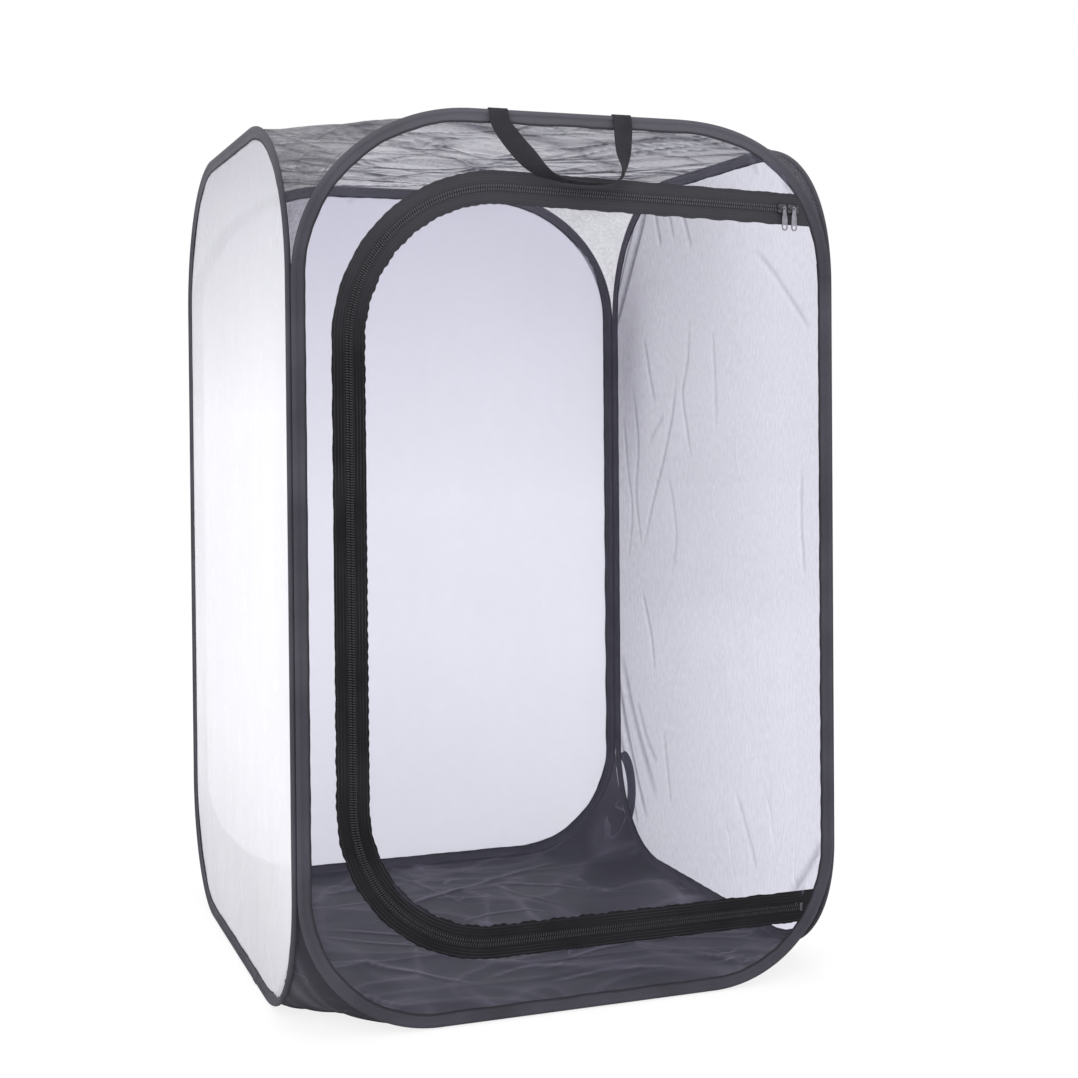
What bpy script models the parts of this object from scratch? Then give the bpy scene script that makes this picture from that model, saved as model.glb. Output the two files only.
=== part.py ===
# Pop-up insect cage: four sprung wire hoops in folded cloth bindings, film and net panels, a zipped door
# Metres, +Z up, front panel at -Y, origin on the floor cloth's underside at the middle of the cage
import math

import bmesh
import bpy
from mathutils import Vector

# Overall sizes, between the middles of the hoops that stand across each other
CAGE_WIDTH = 0.580
CAGE_DEPTH = 0.600
CAGE_HEIGHT = 0.900

# Corners of the hoops: how far each bend reaches along the edge and up the side
TOP_BEND_REACH = 0.178
TOP_BEND_DROP = 0.167
FOOT_BEND_REACH = 0.137
FOOT_BEND_RISE = 0.139
BEND_STEPS = 8
# How square a bend is: 2 is an ellipse; the bend at the front right of the top is fuller
BEND_FULLNESS = 2.0
FRONT_RIGHT_FULLNESS = 2.3

# One clearance for every pair of pieces that touch
TOUCH_GAP = 0.0003

# Spring wire, the crimped sleeve that joins its two ends, and the binding folded round it
WIRE_RADIUS = 0.0012
WIRE_END_GAP = 0.0006
WIRE_SIDES = 6
SLEEVE_WALL = 0.0004
SLEEVE_LENGTH = 0.040
SLEEVE_SIDES = 8
BEAD_BORE = 0.0026
BEAD_RADIUS = 0.0031
BEAD_OUTER_STEPS = 6
BEAD_INNER_STEPS = 5
BINDING_WIDTH = 0.0140
BINDING_CLOTH = 0.0003
FLANGE_SLOT = 0.0009

# The binding's ends lap over each other under a short wrap
LAP_CLOTH = 0.0003
LAP_LENGTH = 0.016
LAP_SIDE_SHARE = 0.30
LEFT_LAP_PLACE = -0.100
REAR_LAP_PLACE = 0.070
RIGHT_LAP_PLACE = 0.060

# Sheets
PANEL_THICKNESS = 0.0003
PANEL_TUCK = 0.0005
TOP_THICKNESS = 0.0004
FLOOR_THICKNESS = 0.0005
TOP_SAG = 0.010
TOP_FOLD_HEIGHT = 0.0028
TOP_FOLD_COUNT = 5
TOP_FOLD_SKEW_SHARE = 0.35
FLOOR_EDGE_REACH = 0.020
CLOTH_MIDDLE_STEPS = 8
CLOTH_BEND_STEPS = 6

# Zip round the door: its middle line runs inside the hoop, with its tapes and its coil
ZIP_SIDE_INSET = 0.0565
ZIP_TOP_INSET = 0.0765
ZIP_FOOT = 0.0785
ZIP_TOP_BEND = 0.154
ZIP_FOOT_BEND = 0.144
ZIP_TOP_SLOPE = math.radians(2.0)
ZIP_BEND_STEPS = 8
ZIP_GROOVE = 0.0011
TAPE_WIDTH = 0.0160
TAPE_THICKNESS = 0.00055
COIL_WIDTH = 0.0027
COIL_HEIGHT = 0.0015
COIL_CROWN_SHARE = 0.30
# The coil's turns are cut in where the sliders park and begin to run; the rest is its plain outline
TEETH_RUN = 0.055
TOOTH_PITCH = 0.0025
TOOTH_DEPTH = 0.0006
TOOTH_LAND_SHARE = 0.44
TOOTH_FLANK_SHARE = 0.12
TAPE_FIT_STEPS = 6
NET_SETBACK = 0.0050
DOOR_HINGE_INSET = 0.0655
DOOR_HINGE_GAP = 0.0006

# Sliders, their crowns, the end stops and the pulls
SLIDER_LENGTH = 0.0090
SLIDER_SPACING = 0.0110
SLIDER_PARK_GAP = 0.0010
SLIDER_WALL = 0.0009
SLIDER_PLATE = 0.0010
SLIDER_BACK_PLATE = 0.0008
SLIDER_WEB = 0.0005
SLIDER_NOSE_SHARE = 0.82
CROWN_POST_RADIUS = 0.0007
CROWN_POST_SPACING = 0.0050
CROWN_CLEAR_HEIGHT = 0.0016
CROWN_BAR = 0.0009
CROWN_SIDES = 8
STOP_LENGTH = 0.0030
STOP_THICKNESS = 0.0006
PULL_THICKNESS = 0.0008
PULL_LENGTH = 0.0232
PULL_EYE_RADIUS = 0.0023
PULL_NECK_WIDTH = 0.0032
PULL_RING_RADIUS = 0.0033
PULL_RING_BORE = 0.0020
PULL_SLOT_RISE = 0.0014
PULL_ARC_STEPS = 6
# How the pull widens from its neck to its ring: shares of its length below the eye, and of the ring's radius
PULL_SIDE_SHARES = ((0.17, 0.62), (0.34, 0.82), (0.60, 0.94))

# Webbing carry handle on the top edge of the front hoop
HANDLE_WIDTH = 0.020
HANDLE_THICKNESS = 0.0012
HANDLE_LEFT_PLACE = -0.0807
HANDLE_SPAN = 0.1314
HANDLE_DROP = 0.0670
HANDLE_STANDOFF = 0.0100
HANDLE_TAIL = 0.0140
HANDLE_LAP = 0.0030
HANDLE_WRAP_STEPS = 6
# Left leg, edge-on foot and right leg, as shares of the span, the drop, the standoff and a quarter twist
HANDLE_ROUTE_SHARES = (
    (0.00, 0.00, 0.00, 0.00),
    (0.00, 0.05, 0.00, 0.00),
    (0.00, 0.10, 0.00, 0.00),
    (0.05, 0.27, 0.03, 0.05),
    (0.17, 0.55, 0.20, 0.20),
    (0.31, 0.82, 0.62, 0.60),
    (0.46, 0.96, 0.96, 0.95),
    (0.63, 1.00, 1.00, 1.00),
    (0.80, 0.97, 1.00, 1.00),
    (0.91, 0.86, 0.80, 0.85),
    (0.96, 0.66, 0.42, 0.45),
    (0.99, 0.40, 0.12, 0.15),
    (1.00, 0.18, 0.01, 0.00),
    (1.00, 0.09, 0.00, 0.00),
    (1.00, 0.00, 0.00, 0.00),
)
# The shares' index where the strap lies edge-on and its twist unwinds
HANDLE_TURN_STEP = 7
HANDLE_SPLIT_STEPS = 2

# Webbing loop sewn into the rear right corner, which holds the folded cage shut
LOOP_WIDTH = 0.0125
LOOP_THICKNESS = 0.0012
LOOP_REACH = 0.041
LOOP_TOP = 0.1265
LOOP_FOOT = 0.030
LOOP_LEAN = math.radians(37)
LOOP_FLEX_REACH = 0.0045
# The loop hangs from the seam: shares of its reach and of its height from foot to top
LOOP_ROUTE_SHARES = (
    (0.00, 1.000),
    (0.22, 1.012),
    (0.52, 0.960),
    (0.80, 0.800),
    (0.98, 0.560),
    (1.00, 0.330),
    (0.86, 0.120),
    (0.64, 0.000),
    (0.44, 0.070),
    (0.30, 0.300),
    (0.19, 0.600),
    (0.09, 0.880),
    (0.00, 0.978),
)
LOOP_SPLIT_STEPS = 2

# Places worked out from the sizes above
HALF_WIDTH = CAGE_WIDTH / 2
HALF_DEPTH = CAGE_DEPTH / 2
CORNER_INSET = (2 * BEAD_RADIUS + TOUCH_GAP) / math.sqrt(2)
HOOP_LIFT = LAP_CLOTH + TOUCH_GAP + TOUCH_GAP / 3
ZIP_LEFT = ZIP_SIDE_INSET - HALF_WIDTH
ZIP_TOP = CAGE_HEIGHT - ZIP_TOP_INSET
DOOR_HINGE_PLACE = HALF_WIDTH - DOOR_HINGE_INSET
WIRE_FOOT = HOOP_LIFT + BEAD_RADIUS
WIRE_TOP = CAGE_HEIGHT - BEAD_RADIUS
FLANGE_TIP = BINDING_WIDTH - BEAD_RADIUS
LAP_RADIUS = BEAD_RADIUS + TOUCH_GAP + LAP_CLOTH
TOP_EDGE_INSET = LAP_RADIUS + TOUCH_GAP / 2 + TOP_THICKNESS / 2
FLOOR_EDGE_INSET = LAP_RADIUS + TOUCH_GAP / 2 + FLOOR_THICKNESS / 2
FRONT_HALF = HALF_WIDTH - CORNER_INSET
SIDE_HALF = HALF_DEPTH - CORNER_INSET
FOLD_RADIUS = BEAD_RADIUS + TOUCH_GAP / 2

# Depths in front of the middle of the front net
TAPE_BACK = PANEL_THICKNESS / 2 + TOUCH_GAP
TAPE_FACE = TAPE_BACK + TAPE_THICKNESS
COIL_BACK = TAPE_FACE + TOUCH_GAP
COIL_FACE = COIL_BACK + COIL_HEIGHT
PLATE_BACK = COIL_FACE + TOUCH_GAP
PLATE_FACE = PLATE_BACK + SLIDER_PLATE
CROWN_FACE = PLATE_FACE + CROWN_CLEAR_HEIGHT + CROWN_BAR
PULL_DEPTH = PLATE_FACE + CROWN_CLEAR_HEIGHT / 2
COIL_EDGE = ZIP_GROOVE / 2 + COIL_WIDTH
TAPE_EDGE = ZIP_GROOVE / 2 + TAPE_WIDTH
LEADING_PLACE = DOOR_HINGE_PLACE + DOOR_HINGE_GAP + SLIDER_PARK_GAP + SLIDER_LENGTH / 2
TRAILING_PLACE = LEADING_PLACE + SLIDER_SPACING
STOP_PLACE = TRAILING_PLACE + SLIDER_LENGTH / 2 + SLIDER_PARK_GAP
COIL_END = STOP_PLACE + STOP_LENGTH
DOOR_HINGE_AXIS = Vector((DOOR_HINGE_PLACE, -HALF_DEPTH - PLATE_BACK, 0))
HANDLE_WRAP_RADIUS = BEAD_RADIUS + TOUCH_GAP + HANDLE_THICKNESS / 2
HANDLE_DEPTH = HANDLE_WRAP_RADIUS + HANDLE_THICKNESS + TOUCH_GAP
HANDLE_HINGE_HEIGHT = WIRE_TOP - HANDLE_LAP / 3


# Scene helpers


def clear_scene():
    for item in list(bpy.data.objects):
        bpy.data.objects.remove(item, do_unlink=True)


def make_material(name, colour, roughness, metallic=0.0):
    material = bpy.data.materials.new(name)
    material.use_nodes = True
    shader = material.node_tree.nodes["Principled BSDF"]
    shader.inputs["Base Color"].default_value = (*colour, 1.0)
    shader.inputs["Roughness"].default_value = roughness
    shader.inputs["Metallic"].default_value = metallic
    material.diffuse_color = (*colour, 1.0)
    return material


def make_axis(name, place, parent=None):
    axis = bpy.data.objects.new(name, None)
    bpy.context.collection.objects.link(axis)
    axis.parent = parent
    axis.location = Vector(place) - axis_place(parent)
    return axis


def axis_place(axis):
    place = Vector((0, 0, 0))
    while axis is not None:
        place += axis.location
        axis = axis.parent
    return place


def add_piece(name, bm, material, axis, smooth=True):
    """Turn a bmesh in cage coordinates into an object whose origin is its axis."""
    bmesh.ops.recalc_face_normals(bm, faces=bm.faces)
    bmesh.ops.translate(bm, verts=bm.verts, vec=-axis_place(axis))
    mesh = bpy.data.meshes.new(name)
    bm.to_mesh(mesh)
    bm.free()
    mesh.materials.append(material)
    if smooth:
        mesh.shade_smooth()
        mesh.set_sharp_from_angle(angle=math.radians(35))
    piece = bpy.data.objects.new(name, mesh)
    bpy.context.collection.objects.link(piece)
    piece.parent = axis
    return piece


# Panels stand in a plane: across is along the panel, out is away from the cage's inside


def panel_frame(side):
    if side == "front":
        return Vector((1, 0, 0)), Vector((0, -1, 0)), Vector((0, -HALF_DEPTH, 0))
    if side == "rear":
        return Vector((1, 0, 0)), Vector((0, 1, 0)), Vector((0, HALF_DEPTH, 0))
    if side == "left":
        return Vector((0, 1, 0)), Vector((-1, 0, 0)), Vector((-HALF_WIDTH, 0, 0))
    return Vector((0, 1, 0)), Vector((1, 0, 0)), Vector((HALF_WIDTH, 0, 0))


def on_panel(side, across, out, height):
    along, outward, middle = panel_frame(side)
    return middle + along * across + outward * out + Vector((0, 0, height))


def panel_half(side):
    return FRONT_HALF if side in ("front", "rear") else SIDE_HALF


# Paths in a panel's plane are lists of (across, height, normal across, normal height)


def signed_power(value, power):
    return math.copysign(abs(value) ** power, value)


def bend(middle, reach, rise, start, stop, steps, fullness=BEND_FULLNESS):
    points = []
    for step in range(steps + 1):
        angle = start + (stop - start) * step / steps
        run = signed_power(math.cos(angle), 2 / fullness)
        climb = signed_power(math.sin(angle), 2 / fullness)
        slope = (signed_power(run, fullness - 1) / reach, signed_power(climb, fullness - 1) / rise)
        normal = Vector(slope).normalized()
        points.append((middle[0] + reach * run, middle[1] + rise * climb, normal[0], normal[1]))
    return points


def hoop_path(side):
    quarter = math.pi / 2
    half = panel_half(side)
    top_middle = (half - TOP_BEND_REACH, WIRE_TOP - TOP_BEND_DROP)
    foot_middle = (half - FOOT_BEND_REACH, WIRE_FOOT + FOOT_BEND_RISE)
    far_fullness = FRONT_RIGHT_FULLNESS if side == "front" else BEND_FULLNESS
    near_fullness = FRONT_RIGHT_FULLNESS if side == "right" else BEND_FULLNESS
    top_bend = (TOP_BEND_REACH, TOP_BEND_DROP)
    path = bend(top_middle, *top_bend, 0, quarter, BEND_STEPS, far_fullness)
    left_top = (-top_middle[0], top_middle[1])
    path += bend(left_top, *top_bend, quarter, 2 * quarter, BEND_STEPS, near_fullness)
    left_foot = (-foot_middle[0], foot_middle[1])
    path += bend(left_foot, FOOT_BEND_REACH, FOOT_BEND_RISE, 2 * quarter, 3 * quarter, BEND_STEPS)
    path += bend(foot_middle, FOOT_BEND_REACH, FOOT_BEND_RISE, 3 * quarter, 4 * quarter, BEND_STEPS)
    return path


def zip_line_height(across):
    lean = math.tan(ZIP_TOP_SLOPE)
    start_across = ZIP_LEFT + ZIP_TOP_BEND * (1 + math.sin(ZIP_TOP_SLOPE))
    start_height = ZIP_TOP - ZIP_TOP_BEND * (1 - math.cos(ZIP_TOP_SLOPE))
    return start_height - lean * (across - start_across)


def zip_path(end_across):
    """From the upper right end, round the left of the door, to the lower right end."""
    quarter = math.pi / 2
    slope_normal = (math.sin(ZIP_TOP_SLOPE), math.cos(ZIP_TOP_SLOPE))
    path = [(end_across, zip_line_height(end_across), *slope_normal)]
    top_middle = (ZIP_LEFT + ZIP_TOP_BEND, ZIP_TOP - ZIP_TOP_BEND)
    top_start = quarter - ZIP_TOP_SLOPE
    path += bend(top_middle, ZIP_TOP_BEND, ZIP_TOP_BEND, top_start, 2 * quarter, ZIP_BEND_STEPS)
    foot_middle = (ZIP_LEFT + ZIP_FOOT_BEND, ZIP_FOOT + ZIP_FOOT_BEND)
    path += bend(foot_middle, ZIP_FOOT_BEND, ZIP_FOOT_BEND, 2 * quarter, 3 * quarter, ZIP_BEND_STEPS)
    path.append((end_across, ZIP_FOOT, 0, -1))
    return path


def part_of_span(first, second, start_share, stop_share):
    """Two stations on the straight span between two stations of a path."""
    ends = []
    for share in (start_share, stop_share):
        ends.append(tuple(a + (b - a) * share for a, b in zip(first, second)))
    return ends


def offset_path(path, away):
    return [(a + na * away, h + nh * away) for a, h, na, nh in path]


# Mesh builders


def sweep(side, path, profile, closed):
    """Carry a profile of (away, out) points along a path in a panel's plane."""
    return sweep_changing(side, path, [profile] * len(path), closed)


def sweep_changing(side, path, profiles, closed):
    """As sweep, but each station of the path has its own profile."""
    bm = bmesh.new()
    rings = []
    for (across, height, normal_across, normal_height), profile in zip(path, profiles):
        ring = []
        for away, out in profile:
            place = on_panel(side, across + normal_across * away, out, height + normal_height * away)
            ring.append(bm.verts.new(place))
        rings.append(ring)
    count = len(profiles[0])
    spans = len(rings) if closed else len(rings) - 1
    for index in range(spans):
        first, second = rings[index], rings[(index + 1) % len(rings)]
        for corner in range(count):
            after = (corner + 1) % count
            bm.faces.new((first[corner], first[after], second[after], second[corner]))
    if not closed:
        bm.faces.new(rings[0])
        bm.faces.new(rings[-1])
    return bm


def flat_sheet(side, loops, back, face):
    """Fill one outline, less any holes, and give it thickness from back to face."""
    bm = bmesh.new()
    edges = []
    for loop in loops:
        verts = [bm.verts.new(on_panel(side, across, back, height)) for across, height in loop]
        for index, vert in enumerate(verts):
            edges.append(bm.edges.new((vert, verts[(index + 1) % len(verts)])))
    bmesh.ops.triangle_fill(bm, use_beauty=True, use_dissolve=False, edges=edges)
    return thicken(bm, panel_frame(side)[1] * (face - back))


def thicken(bm, travel):
    extruded = bmesh.ops.extrude_face_region(bm, geom=list(bm.faces), use_keep_orig=True)
    moved = [item for item in extruded["geom"] if isinstance(item, bmesh.types.BMVert)]
    bmesh.ops.translate(bm, verts=moved, vec=travel)
    return bm


def solidify(piece, thickness):
    modifier = piece.modifiers.new("thickness", "SOLIDIFY")
    modifier.thickness = thickness
    modifier.offset = 0
    modifier.use_even_offset = True


def smooth_route(points, splits):
    """A smooth curve through the points, with each span split evenly."""
    points = [Vector(point) for point in points]
    route = []
    for index in range(len(points) - 1):
        before = points[max(index - 1, 0)]
        start, end = points[index], points[index + 1]
        after = points[min(index + 2, len(points) - 1)]
        for split in range(splits):
            t = split / splits
            pull = (end - before) * t + (before * 2 - start * 5 + end * 4 - after) * t**2
            route.append(start + (pull + (start * 3 - before - end * 3 + after) * t**3) / 2)
    route.append(points[-1])
    return route


def ribbon(name, route, widths, width, thickness, material, axis):
    """A flat strap: each station has a middle and the direction that its width lies in."""
    bm = bmesh.new()
    pairs = []
    for index, (middle, across) in enumerate(zip(route, widths)):
        ahead = route[min(index + 1, len(route) - 1)] - route[max(index - 1, 0)]
        ahead.normalize()
        across = (across - ahead * across.dot(ahead)).normalized()
        low = bm.verts.new(middle - across * width / 2)
        high = bm.verts.new(middle + across * width / 2)
        pairs.append((low, high))
    for (low, high), (next_low, next_high) in zip(pairs, pairs[1:]):
        bm.faces.new((low, high, next_high, next_low))
    piece = add_piece(name, bm, material, axis)
    solidify(piece, thickness)
    return piece


# Hoops


def fold_profile(radius, bore, outer_half, inner_half, outer_steps, inner_steps):
    """A cloth strip folded round a wire: a round bead and two flanges that reach inwards."""
    outer_meet = math.pi - math.asin(outer_half / radius)
    inner_meet = math.pi - math.asin(inner_half / bore)
    profile = [(-FLANGE_TIP, outer_half)]
    for step in range(outer_steps + 1):
        angle = outer_meet - 2 * outer_meet * step / outer_steps
        profile.append((radius * math.cos(angle), radius * math.sin(angle)))
    profile += [(-FLANGE_TIP, -outer_half), (-FLANGE_TIP, -inner_half)]
    for step in range(inner_steps + 1):
        angle = -inner_meet + 2 * inner_meet * step / inner_steps
        profile.append((bore * math.cos(angle), bore * math.sin(angle)))
    profile.append((-FLANGE_TIP, inner_half))
    return profile


def build_binding(side, material, axis):
    inner_half = FLANGE_SLOT / 2
    outer_half = inner_half + BINDING_CLOTH
    profile = fold_profile(
        BEAD_RADIUS, BEAD_BORE, outer_half, inner_half, BEAD_OUTER_STEPS, BEAD_INNER_STEPS
    )
    bm = sweep(side, hoop_path(side), profile, True)
    add_piece(side + "_hoop_binding", bm, material, axis)


def build_lap(side, path, material, axis):
    """The short wrap where the binding's two ends lap."""
    inner_radius = BEAD_RADIUS + TOUCH_GAP
    inner_half = FLANGE_SLOT / 2 + BINDING_CLOTH + TOUCH_GAP
    profile = fold_profile(
        inner_radius + LAP_CLOTH,
        inner_radius,
        inner_half + LAP_CLOTH,
        inner_half,
        BEAD_OUTER_STEPS + 2,
        BEAD_OUTER_STEPS + 2,
    )
    add_piece(side + "_binding_lap", sweep(side, path, profile, False), material, axis)


def foot_lap_path(place):
    start, stop = place - LAP_LENGTH / 2, place + LAP_LENGTH / 2
    return [(start, WIRE_FOOT, 0, -1), (stop, WIRE_FOOT, 0, -1)]


def side_lap_path(side):
    first, second = hoop_path(side)[:2]
    span = (Vector(second[:2]) - Vector(first[:2])).length
    return part_of_span(first, second, LAP_SIDE_SHARE, LAP_SIDE_SHARE + LAP_LENGTH / span)


def build_wire(side, material, axis):
    """An open ring of spring wire, its two ends meeting in the middle of the foot run."""
    path = hoop_path(side)
    foot_start = 3 * (BEND_STEPS + 1)
    ring = path[foot_start:] + path[:foot_start]
    first = (WIRE_END_GAP / 2, WIRE_FOOT, 0, -1)
    last = (-WIRE_END_GAP / 2, WIRE_FOOT, 0, -1)
    profile = circle_points(WIRE_RADIUS, WIRE_SIDES)
    bm = sweep(side, [first] + ring + [last], profile, False)
    add_piece(side + "_spring_wire", bm, material, axis)


def circle_points(radius, sides):
    turn = 2 * math.pi / sides
    return [(radius * math.cos(turn * i), radius * math.sin(turn * i)) for i in range(sides)]


def build_sleeve(side, material, axis):
    """The crimped tube that the wire's two ends are pushed into."""
    bore = WIRE_RADIUS + TOUCH_GAP
    bm = bmesh.new()
    rings = []
    for radius in (bore, bore + SLEEVE_WALL):
        for end in (-SLEEVE_LENGTH / 2, SLEEVE_LENGTH / 2):
            circle = circle_points(radius, SLEEVE_SIDES)
            rings.append([bm.verts.new(on_panel(side, end, out, WIRE_FOOT + up)) for up, out in circle])
    inner_start, inner_end, outer_start, outer_end = rings
    for first, second in (
        (inner_start, inner_end),
        (outer_start, outer_end),
        (inner_start, outer_start),
        (inner_end, outer_end),
    ):
        for index in range(SLEEVE_SIDES):
            after = (index + 1) % SLEEVE_SIDES
            bm.faces.new((first[index], first[after], second[after], second[index]))
    add_piece(side + "_wire_sleeve", bm, material, axis)


def build_panel(side, name, material, axis):
    outline = offset_path(hoop_path(side), -BEAD_BORE - PANEL_TUCK)
    half = PANEL_THICKNESS / 2
    add_piece(name, flat_sheet(side, [outline], -half, half), material, axis, smooth=False)


# Front net, door and zip


def front_opening():
    """The hole in the front net: the zip's line, set back, with a slot for the parked sliders."""
    hinge = DOOR_HINGE_PLACE + DOOR_HINGE_GAP / 2
    slot_end = STOP_PLACE
    path = zip_path(hinge)
    path[0] = (slot_end, zip_line_height(slot_end), path[0][2], path[0][3])
    loop = offset_path(path, NET_SETBACK)
    loop.append((hinge, zip_line_height(hinge) - NET_SETBACK))
    loop.append((slot_end, zip_line_height(slot_end) - NET_SETBACK))
    return loop


def build_front_net(material, axis):
    outline = offset_path(hoop_path("front"), -BEAD_BORE - PANEL_TUCK)
    half = PANEL_THICKNESS / 2
    bm = flat_sheet("front", [outline, front_opening()], -half, half)
    add_piece("front_net", bm, material, axis, smooth=False)


def build_door_net(material, axis):
    hinge = DOOR_HINGE_PLACE - DOOR_HINGE_GAP / 2
    half = PANEL_THICKNESS / 2
    bm = flat_sheet("front", [offset_path(zip_path(hinge), -NET_SETBACK)], -half, half)
    add_piece("door_net", bm, material, axis, smooth=False)


def binding_edge_at(height):
    """Where the right side of the front hoop's binding begins, at a height."""
    line = offset_path(hoop_path("front"), -FLANGE_TIP - TOUCH_GAP)
    places = []
    for first, second in zip(line, line[1:] + line[:1]):
        low, high = min(first[1], second[1]), max(first[1], second[1])
        if low <= height <= high and low < high and first[0] > 0:
            share = (height - first[1]) / (second[1] - first[1])
            places.append(first[0] + (second[0] - first[0]) * share)
    return max(places)


def tape_edge_line(away, upper, start):
    """One long edge of a tape's end: from a start place to the front hoop's binding."""
    stop = DOOR_HINGE_PLACE
    for _ in range(TAPE_FIT_STEPS):
        _, height, normal_across, normal_height = straight_run(start, stop, upper)[1]
        stop = binding_edge_at(height + normal_height * away) - normal_across * away
    return [spot[:2] for spot in offset_path(straight_run(start, stop, upper), away)]


def build_frame_tape(material, axis):
    near, far = ZIP_GROOVE / 2, TAPE_EDGE
    turn = DOOR_HINGE_PLACE
    outline = [spot[:2] for spot in offset_path(zip_path(turn), far)]
    outline += tape_edge_line(far, False, turn)[1:]
    outline += tape_edge_line(near, False, turn)[:0:-1]
    outline += [spot[:2] for spot in reversed(offset_path(zip_path(turn), near))]
    outline += tape_edge_line(near, True, turn)[1:]
    outline += tape_edge_line(far, True, turn)[:0:-1]
    add_piece("frame_zip_tape", flat_sheet("front", [outline], TAPE_BACK, TAPE_FACE), material, axis)


def build_tape_end(name, upper, material, axis):
    start = DOOR_HINGE_PLACE + DOOR_HINGE_GAP / 2
    near, far = -ZIP_GROOVE / 2, -TAPE_EDGE
    outline = tape_edge_line(near, upper, start) + tape_edge_line(far, upper, start)[::-1]
    add_piece(name, flat_sheet("front", [outline], TAPE_BACK, TAPE_FACE), material, axis)


def tape_profile(sign):
    near, far = sign * ZIP_GROOVE / 2, sign * TAPE_EDGE
    return [(near, TAPE_BACK), (far, TAPE_BACK), (far, TAPE_FACE), (near, TAPE_FACE)]


def coil_profile(sign, drop=0.0):
    """Half of the coil in section; a drop lowers its face between two turns."""
    near, far = sign * ZIP_GROOVE / 2, sign * COIL_EDGE
    crown = COIL_CROWN_SHARE * COIL_HEIGHT
    face = COIL_FACE - drop
    shoulder = face - crown
    near_top = near + sign * crown
    far_top = far - sign * crown
    return [
        (near, COIL_BACK),
        (far, COIL_BACK),
        (far, shoulder),
        (far_top, face),
        (near_top, face),
        (near, shoulder),
    ]


def coil_with_teeth(path, run, sign, start_share):
    """Sweep the coil, with its turns cut in over the first part of the path."""
    first, second = Vector(path[0]), Vector(path[1])
    span = (second - first).length
    crest, root = coil_profile(sign), coil_profile(sign, TOOTH_DEPTH)
    stations, profiles = [path[0]], [root]
    place = start_share * TOOTH_PITCH
    flank, land = TOOTH_FLANK_SHARE * TOOTH_PITCH, TOOTH_LAND_SHARE * TOOTH_PITCH
    while place + TOOTH_PITCH < run:
        for along, profile in ((0, root), (flank, crest), (flank + land, crest), (2 * flank + land, root)):
            stations.append(tuple(first.lerp(second, (place + along) / span)))
            profiles.append(profile)
        place += TOOTH_PITCH
    stations.append(tuple(first.lerp(second, (place + flank) / span)))
    stations += path[1:]
    profiles += [crest] * len(path)
    return sweep_changing("front", stations, profiles, False)


def straight_run(start, stop, upper):
    if upper:
        normal = (math.sin(ZIP_TOP_SLOPE), math.cos(ZIP_TOP_SLOPE))
        return [(start, zip_line_height(start), *normal), (stop, zip_line_height(stop), *normal)]
    return [(start, ZIP_FOOT, 0, -1), (stop, ZIP_FOOT, 0, -1)]


def build_zip(tape_material, coil_material, cage, door):
    hinge = DOOR_HINGE_PLACE - DOOR_HINGE_GAP / 2
    build_frame_tape(tape_material, cage)
    outer_coil = coil_with_teeth(zip_path(COIL_END), TEETH_RUN, 1, 0.25)
    add_piece("frame_zip_coil", outer_coil, coil_material, cage)
    add_piece("door_zip_tape", sweep("front", zip_path(hinge), tape_profile(-1), False), tape_material, door)
    door_run = TEETH_RUN - (COIL_END - hinge) / math.cos(ZIP_TOP_SLOPE)
    inner_coil = coil_with_teeth(zip_path(hinge), door_run, -1, 0.40)
    add_piece("door_zip_coil", inner_coil, coil_material, door)
    start = DOOR_HINGE_PLACE + DOOR_HINGE_GAP / 2
    for level, upper in (("upper", True), ("lower", False)):
        build_tape_end(level + "_zip_tape_end", upper, tape_material, cage)
        coil_run = straight_run(start, COIL_END, upper)
        if upper:
            coil = coil_with_teeth(coil_run, COIL_END - start, -1, 0.25)
        else:
            coil = sweep("front", coil_run, coil_profile(-1), False)
        add_piece(level + "_zip_coil_end", coil, coil_material, cage)


def channel_profile(wall, plate):
    """Half channel over the coil, mirrored: the stop's shape, open towards the tape."""
    inner = COIL_EDGE + TOUCH_GAP
    outer = inner + wall
    top = PLATE_BACK + plate
    return [
        (-outer, COIL_BACK),
        (-outer, top),
        (outer, top),
        (outer, COIL_BACK),
        (inner, COIL_BACK),
        (inner, PLATE_BACK),
        (-inner, PLATE_BACK),
        (-inner, COIL_BACK),
    ]


def build_stops(material, axis):
    for level, upper in (("upper", True), ("lower", False)):
        run = straight_run(STOP_PLACE, STOP_PLACE + STOP_LENGTH, upper)
        bm = sweep("front", run, channel_profile(STOP_THICKNESS, STOP_THICKNESS), False)
        add_piece(level + "_zip_stop", bm, material, axis)


def slider_profile(flare):
    """Face plate with side walls over the coil, a thin web in the groove, and a back plate."""
    inner = COIL_EDGE + TOUCH_GAP
    outer = inner + SLIDER_WALL * flare
    web = SLIDER_WEB / 2
    back_face = PANEL_THICKNESS / 2
    back = back_face - SLIDER_BACK_PLATE
    right = [
        (web, PLATE_BACK),
        (inner, PLATE_BACK),
        (inner, COIL_BACK),
        (outer, COIL_BACK),
        (outer, PLATE_FACE),
    ]
    left = [(-away, out) for away, out in reversed(right)]
    foot = [(-web, back_face), (-inner, back_face), (-inner, back), (inner, back)]
    return right + left + foot + [(inner, back_face), (web, back_face)]


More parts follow.
